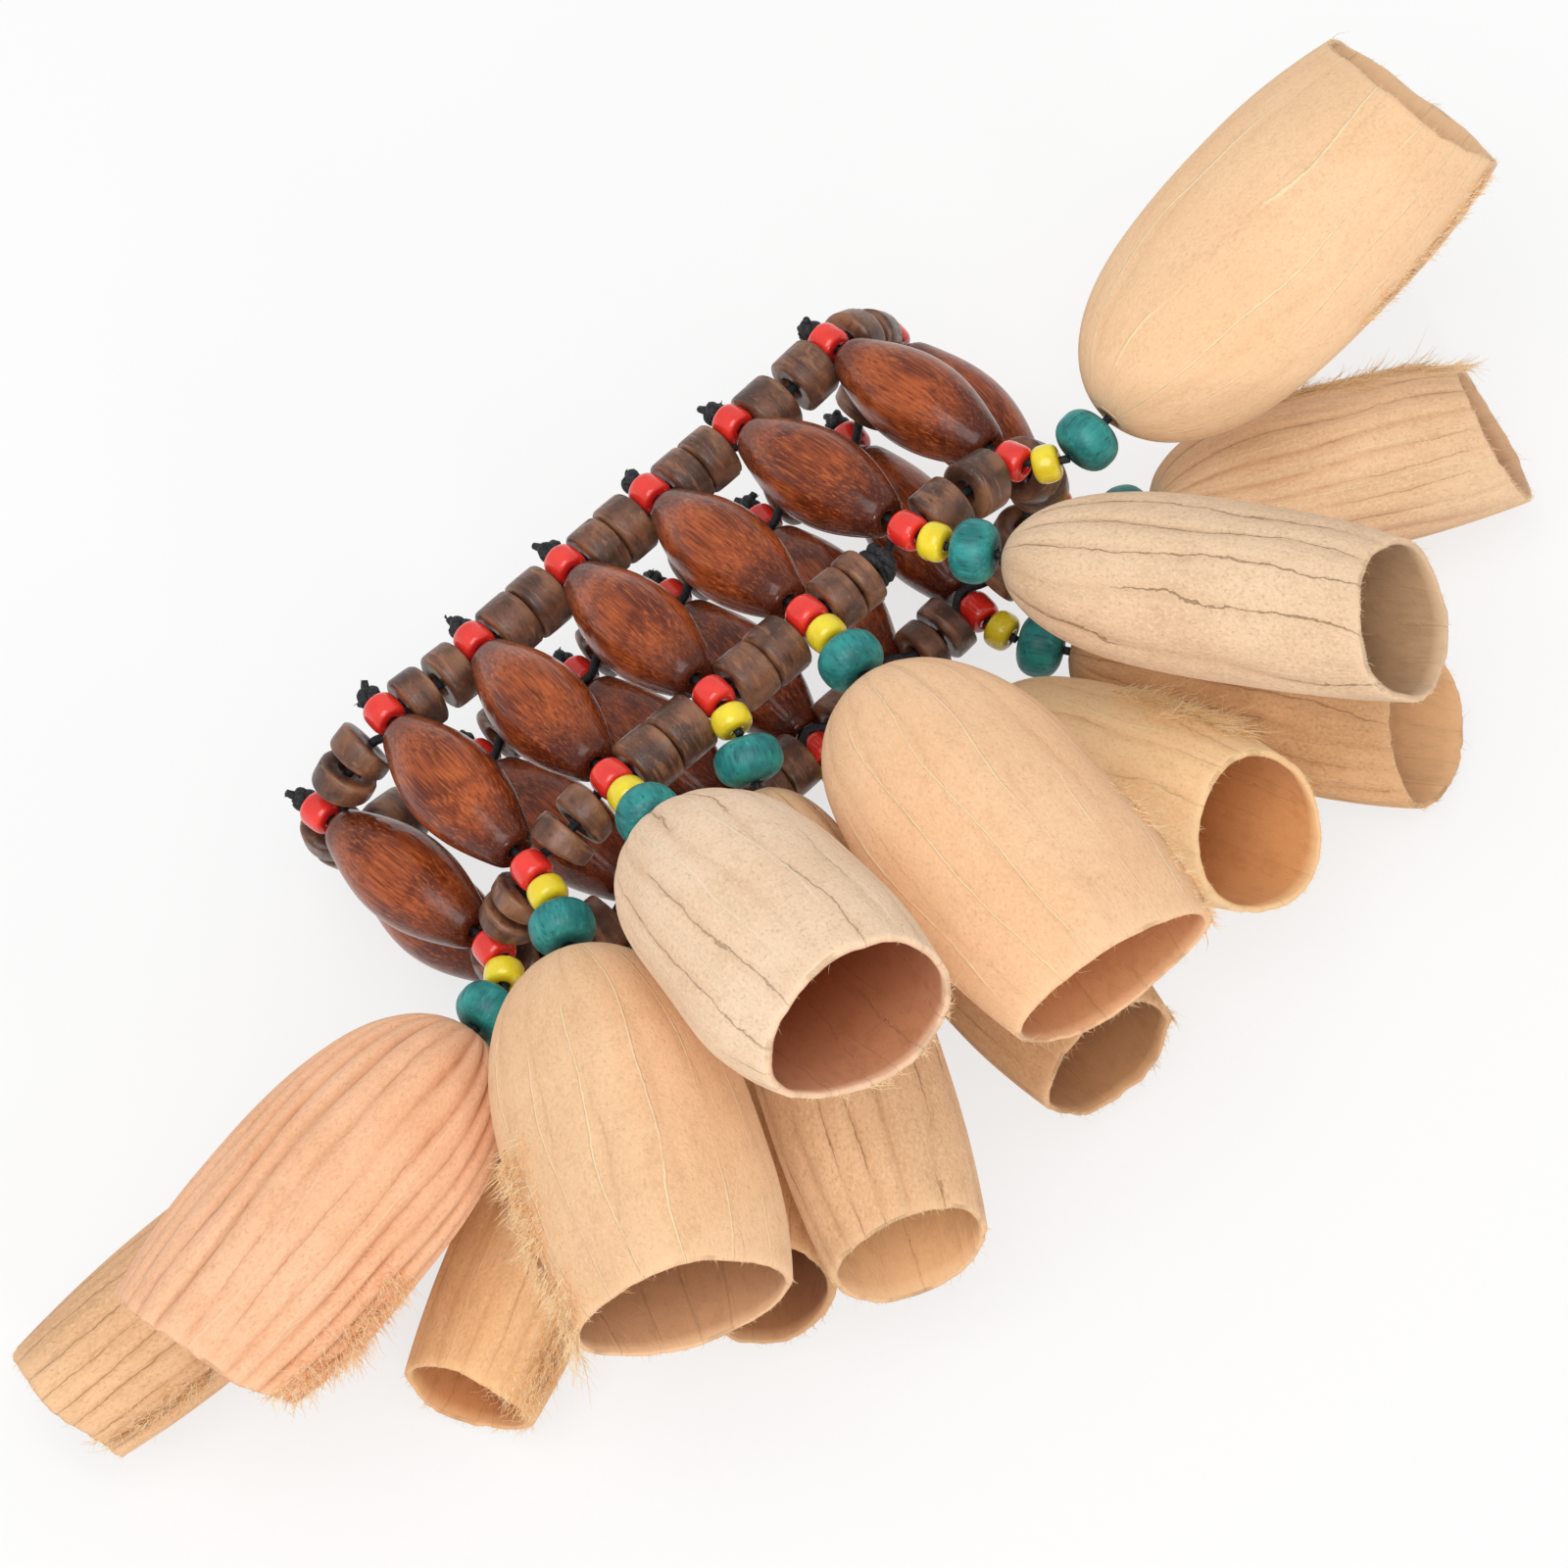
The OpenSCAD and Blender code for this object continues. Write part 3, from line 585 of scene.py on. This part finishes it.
def ring_beads(side, material):
    """Coconut rings: short barrels with rounded, chipped shoulders. Each ring's radius and faces carry small
    waves of their own, some rings are cut a little aslant, and where the loop turns they are wedges, thicker on
    the outside, that fill the run."""
    rng = np.random.default_rng(5 + side)
    thick, places, _, run_turn, bare = run_values(side)
    k = np.concatenate([STATIONS, STATIONS])
    part = np.concatenate(places)
    half = np.concatenate([thick, thick])[:, None] / 2 + RING_SNUG
    at, way = elastic_points(k, part, side), elastic_ways(k, part, side)
    count, around = len(k), 44
    r, bore = RING_D / 2, RING_BORE_D / 2
    bend = np.linspace(0, math.pi / 2, 5)
    shoulder = r - RING_ROUND + RING_ROUND * np.sin(bend)
    rise = np.concatenate([[0.25, 0], 0.5 - 0.5 * np.cos(bend)])
    radii = np.concatenate([[bore, bore + 0.2], shoulder, [r + 0.03], shoulder[::-1], [bore + 0.2, bore]])
    end = np.concatenate([np.full(7, -1), [0], np.full(7, 1)])
    height = end * half + np.concatenate([rise, [0], -rise[::-1]])
    profile = np.stack([np.broadcast_to(radii, height.shape), height], -1)
    wob = wobbles(rng, count, len(radii), around, 0.016)
    chips = 1 - 0.03 * np.clip(rng.normal(0, 1, (count, len(radii), around)), 0, 2)
    on_edge = np.isin(np.arange(len(radii)), (3, 4, 8, 9))[None, :, None]
    size = 1.02 - rng.uniform(0, 0.08, (count, 1, 1))
    points, local = turned(profile, at, way, around, np.where(on_edge, wob * chips, wob) * size)
    a = np.arange(around) / around * TAU
    slant = rng.uniform(0.0, 0.16, (count, 2, 1)) * np.cos(a - rng.uniform(0, TAU, (count, 2, 1)))
    inward = np.where((end < 0)[:, None], np.abs(slant[:, :1]), -np.abs(slant[:, 1:])) * (end != 0)[:, None]
    u, v = frames(way)
    outer = -band_places(k, part, side)[2]
    outer = dot(u, outer) * np.cos(a) + dot(v, outer) * np.sin(a)
    share = 1 - np.clip(run_turn / 0.8, 0, 1)[k][:, None] * (0.5 - 0.5 * outer)
    grow = np.clip(0.8 * bare - RING_SNUG, 0, 1.6)[k][:, None] * share
    if side == DOWN:
        grow[COUNT] = 0  # the ring beside the elastic's knot
    station_end = np.repeat([-1, 1], COUNT)[:, None]
    inward = inward + np.where(end == station_end, station_end, 0)[..., None] * grow[:, None]
    points = points + inward[..., None] * way[:, None, None]
    edge = np.isin(np.arange(len(radii)), (1, 2, 3, 4, 8, 9, 10, 11)).astype(float)
    edge = np.broadcast_to(edge[None, :, None], points.shape[:-1])
    pick = np.broadcast_to(rng.uniform(0, 30, (count, 1, 1)), points.shape[:-1])
    name = "upper" if side == UP else "lower"
    build(f"{name}_coconut_rings", points, True, material, "band", "coconut", [f"{name}_ring_beads"],
          grain=local, edge=edge, pick=pick)


# Cords

def closed_elastic(side, material):
    """An elastic: a round tube along the loop's points, 20 to a run."""
    path = elastic_points(np.repeat(STATIONS, 20), np.tile(np.arange(20) / 20, COUNT), side)
    ahead = unit(np.roll(path, -1, 0) - np.roll(path, 1, 0))
    points = ringed(path, ahead, np.full(len(path), ELASTIC_D / 2), 10, np.array([0.0, 1.0, 0.0]))
    name = "upper" if side == UP else "lower"
    build(f"{name}_elastic_cord", points, True, material, "band", "elastic", [f"{name}_elastic"])


# The wound knot's turns, its cord's radius and its reach as a share of the lump; the top knots' size to the
# solid's, and how much nearer the red bead they sit; the string's end before the teal bead's middle, as a share
KNOT_TURNS, KNOT_CORD_R, KNOT_REACH = 4.4, 0.68, 0.62
TOP_KNOT_SWELL, TOP_KNOT_NEAR = 1.15, 0.35
STRING_STOP = 0.54


def wound_knot(material):
    """The lower elastic's knot: a cord wound round it in a coil that swells at its middle."""
    part = run_values(DOWN)[2]
    at = elastic_points(STATIONS[:1], part[:1], DOWN)
    way = elastic_ways(STATIONS[:1], part[:1], DOWN)
    u, v = frames(way)
    a = np.linspace(0, KNOT_TURNS * TAU, 160)
    x = np.linspace(-1, 1, 160)
    reach = (KNOT_REACH * KNOT_LUMP_D - KNOT_CORD_R) * (0.85 + 0.25 * np.cos(2.3 * a))
    path = (at + (KNOT_REACH * KNOT_LUMP_LEN - KNOT_CORD_R) * (x + 0.3 * np.sin(2 * a))[:, None] * way
            + reach[:, None] * (np.cos(a)[:, None] * u + np.sin(a)[:, None] * v))
    points = tubes(path[None], np.full((1, 160), KNOT_CORD_R), 8, way[0])
    build("elastic_wound_knot", points, False, material, "band", "cord", ["elastic_knot"])


def knot_tubes(at, way, size, turn):
    """Small knots: a thick cord along a three-lobed closed knot curve, (sin t + 2 sin 2t, cos t - 2 cos 2t,
    -sin 3t), so that its turns press into one lump."""
    u, v = frames(way)
    t = np.arange(48) / 48 * TAU
    x, y, z = np.sin(t) + 2 * np.sin(2 * t), np.cos(t) - 2 * np.cos(2 * t), -np.sin(3 * t)
    c, s = np.cos(turn)[:, None], np.sin(turn)[:, None]
    path = (at[:, None] + size / 2 * 0.19 * (
        (c * x - s * y)[..., None] * u[:, None] + (s * x + c * y)[..., None] * v[:, None]
        + 1.7 * (z * np.ones_like(c))[..., None] * way[:, None]))
    ahead = unit(np.roll(path, -1, 1) - np.roll(path, 1, 1))
    return ringed(path, ahead, np.full(path.shape[:2], size * 0.24), 8, np.array([0.31, 0.22, 0.93]))


def strands(base, way, bend, length, radius, rows=4, around=3, thin=0.8, curl=0.0):
    """Thin hairs: base + length * (s * way + s^2 * bend + sin(1.4 turns * s) * curl), whose radius falls by a
    share thin to the tip."""
    s = np.linspace(0, 1, rows)[None, :, None]
    wave = np.sin(1.4 * TAU * s) * (curl[:, None] if np.ndim(curl) else curl)
    path = base[:, None] + length[:, None, None] * (s * way[:, None] + s ** 2 * bend[:, None] + wave)
    return tubes(path, radius[:, None] * (1 - thin * s[..., 0] ** 1.5), around, np.array([0.53, 0.31, 0.79]))


def cords(material):
    """Strings with their top knots and cut, frayed ends on the band, and the string's last stretch to each
    shell, drawn straight from the teal bead to the shell's knot."""
    rng = np.random.default_rng(77)
    rows = 20
    lean = unit(rng.normal(0, 1, (COUNT, 3)))
    knots = knot_tubes(top_knot_at + TOP_KNOT_NEAR * string_way, string_way, TOP_KNOT_SWELL * TOP_KNOT_D,
                       rng.uniform(0, TAU, COUNT))
    build("top_knots", knots, True, material, "band", "cord")
    ends_at = np.concatenate([top_knot_at, top_knot_at]) - 0.1 * TOP_KNOT_D * np.concatenate([string_way] * 2)
    ends_way = unit(np.concatenate([-string_way + 0.8 * lean, -0.4 * string_way - 0.9 * lean]))
    stub = rng.uniform(1.0, 1.8, 2 * COUNT)
    ends = strands(ends_at, ends_way, 0.25 * unit(rng.normal(0, 1, (2 * COUNT, 3))), stub,
                   np.full(2 * COUNT, 0.62), 7, 8, 0.35)
    build("top_cut_ends", ends, False, material, "band", "cord")
    each = 7
    tip = np.repeat(ends_at + stub[:, None] * ends_way * 0.85, each, 0)
    hair_way = unit(np.repeat(ends_way, each, 0) + 0.4 * rng.normal(0, 1, (len(tip), 3)))
    hairs = strands(tip, hair_way, 0.3 * rng.normal(0, 1, (len(tip), 3)), rng.uniform(0.15, 0.45, len(tip)),
                    np.full(len(tip), 0.13))
    build("top_frayed_ends", hairs, False, material, "band", "cord")
    stops = [top_knot_at, rim_up, rim_down + RIM_GAP / 3 * string_way, lower_red_at, yellow_at,
             teal_at - STRING_STOP * TEAL_LEN * shell_way]
    path = np.stack(stops, 1)
    far = np.linspace(0, len(stops) - 1, rows)
    cell = np.minimum(far.astype(int), len(stops) - 2)
    path = path[:, cell] + (far - cell)[None, :, None] * (path[:, cell + 1] - path[:, cell])
    build("tie_strings_cord", tubes(path, np.full(path.shape[:2], STRING_D / 2), 8, np.array([0.0, 0.0, 1.0])),
          False, material, "band", "cord", ["tie_strings"])
    foot = shell_at + (1.5 * SHELL_WALL + BEAD_GAP + SHELL_KNOT_D / 2) * shell_way
    share = np.linspace(0, 1, 12)[None, :, None]
    for i in STATIONS:
        number = f"{i + 1:02d}"
        path = teal_at[i:i + 1, None] * (1 - share) + foot[i:i + 1, None] * share
        radius = np.full(path.shape[:2], STRING_D / 2)
        string = build(f"shell_string_{number}", tubes(path, radius, 8, np.array([0.1, 0.2, 1.0])), False,
                       material, None, "cord")
        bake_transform(string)
        knot = knot_tubes(foot[i:i + 1], shell_way[i:i + 1], SHELL_KNOT_D, np.array([0.7 * i]))
        build(f"shell_knot_{number}", knot, True, material, f"shell_{number}", "cord")


# Shells

BELLY, MOUTH_DRAW_IN, TIP_BLUNT = 0.68, 0.13, 3.2
LOBES, LOBE_DEPTH, LOBE_TURN = 3, 0.03, math.radians(50)
AROUND, OUT_ROWS, IN_ROWS = 176, 92, 44
WALL_SHARE = 0.82


def swell(t):
    """Outline from tip to mouth: a blunt rise to the belly, then a small square-law draw-in."""
    rise = np.sqrt(np.clip(1 - np.clip(1 - t / BELLY, 0, 1) ** TIP_BLUNT, 0, 1))
    return np.where(t < BELLY, rise, 1 - MOUTH_DRAW_IN * ((t - BELLY) / (1 - BELLY)) ** 2)


def circle_waves(rng, turn, first, last, falloff):
    """Random waves round a circle: a sum of cosines whose size falls off with their number."""
    n = np.arange(first, last + 1)
    size = rng.normal(0, 1, len(n)) / n ** falloff
    phase = rng.uniform(0, TAU, len(n))
    return np.sum(size * np.cos(n * turn[..., None] + phase), -1)


class ShellForm:
    """A shell's surface in its own axes: turn is counted from the underside, t runs from tip to mouth."""

    def __init__(self, i):
        self.i = i
        rng = np.random.default_rng(300 + i)
        self.depth, self.folds, self.reach, self.torn, self.keel = LOOKS[i][6:]
        turn = np.arange(AROUND) / AROUND * TAU
        self.turn = turn
        rim = circle_waves(rng, turn, 2, 5, 1.0) * 0.5 + circle_waves(rng, turn, 7, 40, 1.0) * 0.3
        self.rim = self.torn * rim
        self.dent_size = rng.normal(0, 0.011, 6)
        self.dent_phase = rng.uniform(0, TAU, (6, 2))
        self.fold_phase = rng.uniform(0, TAU, 5)

    def lines(self, turn, t, count, lean):
        """Angle that goes count times round the shell and wanders: a line runs from the tip wherever it is 0."""
        p = self.fold_phase
        return (count * turn + lean * (1.6 * np.sin(2 * turn + p[0]) + 0.8 * np.sin(3 * turn + p[1])
                + 0.9 * np.sin(4.4 * t + p[2] + 2 * turn) + 0.35 * np.sin(13 * t + p[3] + 5 * turn)))

    def creases(self, turn, t, power):
        """Depth from 0 to 1 of the folds: valleys along the lines, which fade in and out from place to place."""
        p = self.fold_phase
        valley = (1 - np.abs(np.sin(0.5 * self.lines(turn, t, self.folds, 1.0)))) ** power
        gate = (np.sin(3 * turn + p[0]) + np.sin(5 * turn + 3 * t + p[1]) + np.sin(2 * turn - 7 * t + p[2])
                + np.sin(9 * turn + 11 * t + p[3]))
        gate = 0.3 + 0.7 / (1 + np.exp(-1.5 * gate))
        return valley * gate * np.clip(t / 0.08, 0, 1) * np.clip(1 - 0.6 * (t / self.reach) ** 3, 0, 1)

    def frayed(self, turn, t):
        """From 0 to 1 over the shell's frayed places: a bell across their turn, flat along their length."""
        share = 0 * t
        for number, middle, spread, t0, t1 in (row[:5] for row in TUFTS):
            if number == self.i + 1 and t0 < 0.9:
                off = np.mod(np.degrees(turn) - middle + 180, 360) - 180
                share = np.maximum(share, np.exp(-(off / (1.1 * spread)) ** 2) * np.clip((t - t0) / 0.12, 0, 1)
                                   * np.clip((t1 + 0.1 - t) / 0.1, 0, 1))
        return share

    def relief(self, turn, t):
        """Change of radius in mm: broad dents, creases, and flanks that flatten towards two keels as a
        superellipse does: (|cos|^p + |sin|^p)^(-1/p) with p under 2."""
        k = np.arange(6)
        dents = np.sum(self.dent_size * np.cos((1 + k % 3) * turn[..., None] + self.dent_phase[:, 0])
                       * np.sin((1 + k // 2) * math.pi * t[..., None] + self.dent_phase[:, 1]), -1)
        size = (SHELL_WIDTH[self.i] + SHELL_THICK[self.i]) / 4
        p = 2 - 0.4 * self.keel
        flat = (np.abs(np.cos(turn)) ** p + np.abs(np.sin(turn)) ** p) ** (-1 / p) - 1
        return (size * (dents + flat) * np.clip(t / 0.3, 0, 1) - 1.6 * self.depth * self.creases(turn, t, 1.4))

    def points(self, turn, t, inset, relief_share):
        """Surface at an inset inside the outer one, in the shell's own axes."""
        i = self.i
        r = swell(t) * (1 + LOBE_DEPTH * t * np.cos(LOBES * turn + LOBE_TURN * i))
        less = inset - relief_share * self.relief(turn, t)
        torn = np.interp(turn, np.append(self.turn, TAU), np.append(self.rim, self.rim[0]))
        z = SHELL_LEN[i] * t * (1 + MOUTH_SLANT[i] * t * np.cos(turn)) + torn * t ** 10
        x = (SHELL_THICK[i] / 2 * r - less) * np.cos(turn)
        y = (SHELL_WIDTH[i] / 2 * r - less) * np.sin(turn)
        return np.stack([x, y, z], -1)

    def placed(self, local):
        """Points in the shell's own axes, set at its place on the bracelet."""
        u, v = frames(shell_way[self.i])
        return (shell_at[self.i] + local[..., :1] * u + local[..., 1:2] * v + local[..., 2:] * shell_way[self.i])


def shell(i):
    """One shell: outer rows from the string's hole to the mouth, a rounded rim, inner rows back to the hole."""
    form = ShellForm(i)
    out_t = np.linspace(0.0, 1, OUT_ROWS) ** 1.45
    out_t[0] = 0.008
    in_t = 1 - np.linspace(0, 1, IN_ROWS) ** 0.9 * 0.9
    turn, t_out = np.meshgrid(form.turn, out_t)
    turn_in, t_in = np.meshgrid(form.turn, in_t)
    outer = form.points(turn, t_out, 0.0, 1.0)
    inner = form.points(turn_in, t_in, WALL_SHARE * SHELL_WALL, 0.45)
    lip = 0.5 * (outer[-1:] + inner[:1]) + np.array([0, 0, 0.28])
    hole = np.stack([SHELL_HOLE_D / 2 * np.cos(form.turn), SHELL_HOLE_D / 2 * np.sin(form.turn), 0 * form.turn], -1)
    start, end = hole[None] + np.array([0, 0, 0.05]), hole[None] + np.array([0, 0, 1.5 * SHELL_WALL])
    local = np.concatenate([start, outer, lip, inner, end])
    t = np.concatenate([[0.0], out_t, [1.0], in_t, [0.05]])
    # Hollow is 0 outside and 1 plus the depth inside; the finish turns the depth into painted shade
    depth = np.clip((1 - in_t) / 0.7, 0, 1)
    hollow = np.concatenate([np.zeros(1 + OUT_ROWS), [0.6], 1 + depth, [2.0]])
    rim = np.exp(-((1 - t) / 0.02) ** 2)
    full_turn = np.broadcast_to(form.turn, (len(t), AROUND))
    mean = (SHELL_WIDTH[i] + SHELL_THICK[i]) / 4 / 10
    grain = np.stack([mean * np.cos(full_turn), mean * np.sin(full_turn),
                      np.broadcast_to((t * SHELL_LEN[i] / 10)[:, None], full_turn.shape)], -1)
    shape = full_turn.shape
    all_t = t[:, None] + 0 * full_turn
    # Painted shade in the creases, on the outside only
    fold = np.where(hollow[:, None] < 0.5, form.creases(full_turn, all_t, 3.5), 0) * min(1, 2 * form.depth)
    # Painted shade under the frayed places' hairs, on the outside only
    fray = np.where(hollow[:, None] < 0.5, form.frayed(full_turn, all_t), 0)
    crack, vein = form.lines(full_turn, all_t, form.folds, 1.0), form.lines(full_turn + 0.4, all_t, 13, 0.9)
    crack_line = np.stack([np.cos(crack), np.sin(crack), 0 * crack], -1)
    vein_line = np.stack([np.cos(vein), np.sin(vein), 0 * vein], -1)
    build(f"shell_{i + 1:02d}_nut", form.placed(local)[None], True, nutshell(i), f"shell_{i + 1:02d}", "nutshell",
          [f"shell_{i + 1:02d}"], grain=grain[None], fold=fold[None], fray=fray[None],
          crack_line=crack_line[None], vein_line=vein_line[None],
          hollow=np.broadcast_to(hollow[:, None], shape)[None], rim=np.broadcast_to(rim[:, None], shape)[None])
    return form


RIM_HAIRS = 260


def fibres(form):
    """Fine whiskers round a shell's mouth and curled hairs over its frayed places, in locks of about eight:
    each starts on the outer surface and leans along the shell's length, out from it and sideways."""
    i = form.i
    rng = np.random.default_rng(900 + i)
    turn, t = rng.uniform(0, TAU, RIM_HAIRS), np.ones(RIM_HAIRS)
    length = rng.gamma(1.6, 0.24, RIM_HAIRS) + 0.15
    lean, lift = np.ones(RIM_HAIRS), rng.normal(0.0, 0.5, RIM_HAIRS)
    side, radius = rng.normal(0, 0.3, RIM_HAIRS), rng.uniform(0.02, 0.04, RIM_HAIRS)
    for number, middle, spread, t0, t1, count, size, along_share, out_share in TUFTS:
        if number == i + 1:
            lock = rng.integers(0, count // 8, count)
            turn = np.append(turn, np.radians(rng.normal(middle, spread, count)[lock] + rng.normal(0, 1.5, count)))
            t = np.append(t, np.clip(rng.uniform(t0, t1, count)[lock] + rng.normal(0, 0.015, count), t0, t1))
            length = np.append(length, size * rng.uniform(0.2, 1.0, count))
            lean = np.append(lean, rng.normal(along_share, 0.25, count))
            lift = np.append(lift, rng.gamma(2.0, out_share / 2, count))
            side = np.append(side, rng.normal(0, 0.45, count)[lock] + rng.normal(0, 0.2, count))
            radius = np.append(radius, rng.uniform(0.03, 0.065, count))
    turn = np.mod(turn, TAU)
    on = form.placed(form.points(turn, t, 0.1, 1.0))
    along = unit(form.placed(form.points(turn, t, 0.0, 0.0)) - form.placed(form.points(turn, t - 0.03, 0.0, 0.0)))
    across = unit(form.placed(form.points(turn + 1e-3, t, 0.0, 0.0)) - form.placed(form.points(turn, t, 0.0, 0.0)))
    out = np.cross(across, along)
    n = len(turn)
    way = unit(lean[:, None] * along + lift[:, None] * out + side[:, None] * across)
    bend = rng.normal(0, 0.25, (n, 1)) * out + rng.normal(0, 0.4, (n, 1)) * across
    curl = rng.normal(0, 0.05, (n, 1)) * out + rng.normal(0, 0.08, (n, 1)) * across
    hairs = strands(on, way, bend, length, radius, 6, curl=curl)
    pick = np.broadcast_to(rng.uniform(0, 1, (n, 1, 1)), hairs.shape[:-1])
    tuft = build(f"shell_{i + 1:02d}_fibres", hairs, False, fibre_finish(i), f"shell_{i + 1:02d}", "nutshell",
                 pick=pick)
    tuft.visible_shadow = False  # so fine that they would only darken the shell under them


# Stage, light and camera

CAMERA_RIGHT = np.array([0.717, -0.695, 0.0])
CAMERA_UP = np.array([0.6185, 0.639, 0.460])
CAMERA_BACK = np.array([-0.320, -0.331, 0.888])
LOOK_AT = np.array([-2.5, -16.8, -7.1])
CAMERA_FAR = 800.0
FLOOR_Z = -21.9


def stage_floor():
    """A pale floor that shows white to the camera and keeps a soft shadow."""
    size = 4.0
    mesh = bpy.data.meshes.new("floor")
    z = FLOOR_Z * MM
    mesh.from_pydata([(-size, -size, z), (size, -size, z), (size, size, z), (-size, size, z)], [], [(0, 1, 2, 3)])
    floor = bpy.data.objects.new("floor", mesh)
    bpy.context.scene.collection.objects.link(floor)
    f = Finish("pale_floor", Roughness=0.9, Specular_IOR_Level=0.0)
    f.shader.inputs["Base Color"].default_value = (0.9, 0.9, 0.9, 1)
    glow = f.node("Emission", {"Color": (1, 1, 1, 1), "Strength": 1.0})
    path = f.tree.nodes.new("ShaderNodeLightPath")
    seen = f.sum(path.outputs["Is Camera Ray"], path.outputs["Is Glossy Ray"], clamp=True)
    seen = f.sum(seen, path.outputs["Is Transmission Ray"], clamp=True)
    shown = f.node("MixShader", {0: f.times(seen, 0.72), 1: f.shader.outputs[0], 2: glow})
    f.tree.links.new(shown, f.tree.nodes["Material Output"].inputs["Surface"])
    mesh.materials.append(f.material)


def matrix_of(x, y, z, at):
    """Placing matrix from three axes and a place."""
    return Matrix([[x[k], y[k], z[k], at[k]] for k in range(3)] + [[0, 0, 0, 1]])


def lamp(name, way, far, size, power):
    """A square soft white light at a distance in metres along a way, facing the bracelet, in watts."""
    data = bpy.data.lights.new(name, "AREA")
    data.size, data.energy = size, power
    light = bpy.data.objects.new(name, data)
    bpy.context.scene.collection.objects.link(light)
    way = unit(np.array(way, float))
    x = unit(np.cross([0.0, 0.0, 1.0], way))
    light.matrix_world = matrix_of(x, np.cross(way, x), way, LOOK_AT * MM + way * far)


def lights_and_camera():
    """Soft studio light from above and behind the camera, a white surround, and the photograph's view."""
    world = bpy.data.worlds.new("studio")
    bpy.context.scene.world = world
    world.use_nodes = True
    back = world.node_tree.nodes["Background"]
    back.inputs["Color"].default_value = (1, 1, 1, 1)
    back.inputs["Strength"].default_value = 0.64
    lamp("key", CAMERA_BACK + 0.16 * CAMERA_UP - 0.16 * CAMERA_RIGHT, 1.0, 0.7, 4.7)
    lamp("glint", CAMERA_BACK - 0.7 * CAMERA_UP + 0.45 * CAMERA_RIGHT, 1.0, 0.12, 1.5)
    data = bpy.data.cameras.new("camera")
    data.sensor_width, data.lens = 36.0, 160.0
    data.clip_start, data.clip_end = 0.05, 20.0
    camera = bpy.data.objects.new("camera", data)
    bpy.context.scene.collection.objects.link(camera)
    z = unit(CAMERA_BACK)
    x = unit(CAMERA_RIGHT)
    y = np.cross(z, x)
    camera.matrix_world = matrix_of(x, y, z, (LOOK_AT + CAMERA_FAR * z) * MM)
    bpy.context.scene.camera = camera
    bpy.context.scene.view_settings.view_transform = "Standard"


coconut_finish, cord_finish = coconut(), black_cord()
long_beads(polished_wood())
red = glossy("red_bead", srgb(248, 58, 46), srgb(206, 26, 26))
yellow = glossy("yellow_bead", srgb(252, 230, 48), srgb(220, 180, 20))
small_beads("upper_red_seed_beads", upper_red_at + RED_SNUG / 2 * string_way, string_way, RED_D,
            RED_LEN + RED_SNUG, red, "red_bead", "band", ["upper_red_beads"], 11, power=3.2)
small_beads("lower_red_seed_beads", lower_red_at - RED_SNUG / 2 * red_way, red_way, RED_D,
            RED_LEN + RED_SNUG, red, "red_bead", "band", ["lower_red_beads"], 12, power=3.2)
small_beads("yellow_seed_beads", yellow_at, yellow_way, YELLOW_D, YELLOW_LEN, yellow, "yellow_bead", "band",
            ["yellow_beads"], 13)
teal = teal_wood()
snug_teal_at = teal_at + TEAL_SNUG / 2 * shell_way
for i in STATIONS:
    own = f"teal_bead_{i + 1:02d}"
    small_beads(f"{own}_wood", snug_teal_at[i:i + 1], shell_way[i:i + 1], TEAL_D, TEAL_LEN + TEAL_SNUG, teal,
                "teal_wood", own, [own], 40 + i, 48, 2.1)
for side in (UP, DOWN):
    ring_beads(side, coconut_finish)
    closed_elastic(side, cord_finish)
wound_knot(cord_finish)
cords(cord_finish)
for i in STATIONS:
    fibres(shell(i))
stage_floor()
lights_and_camera()
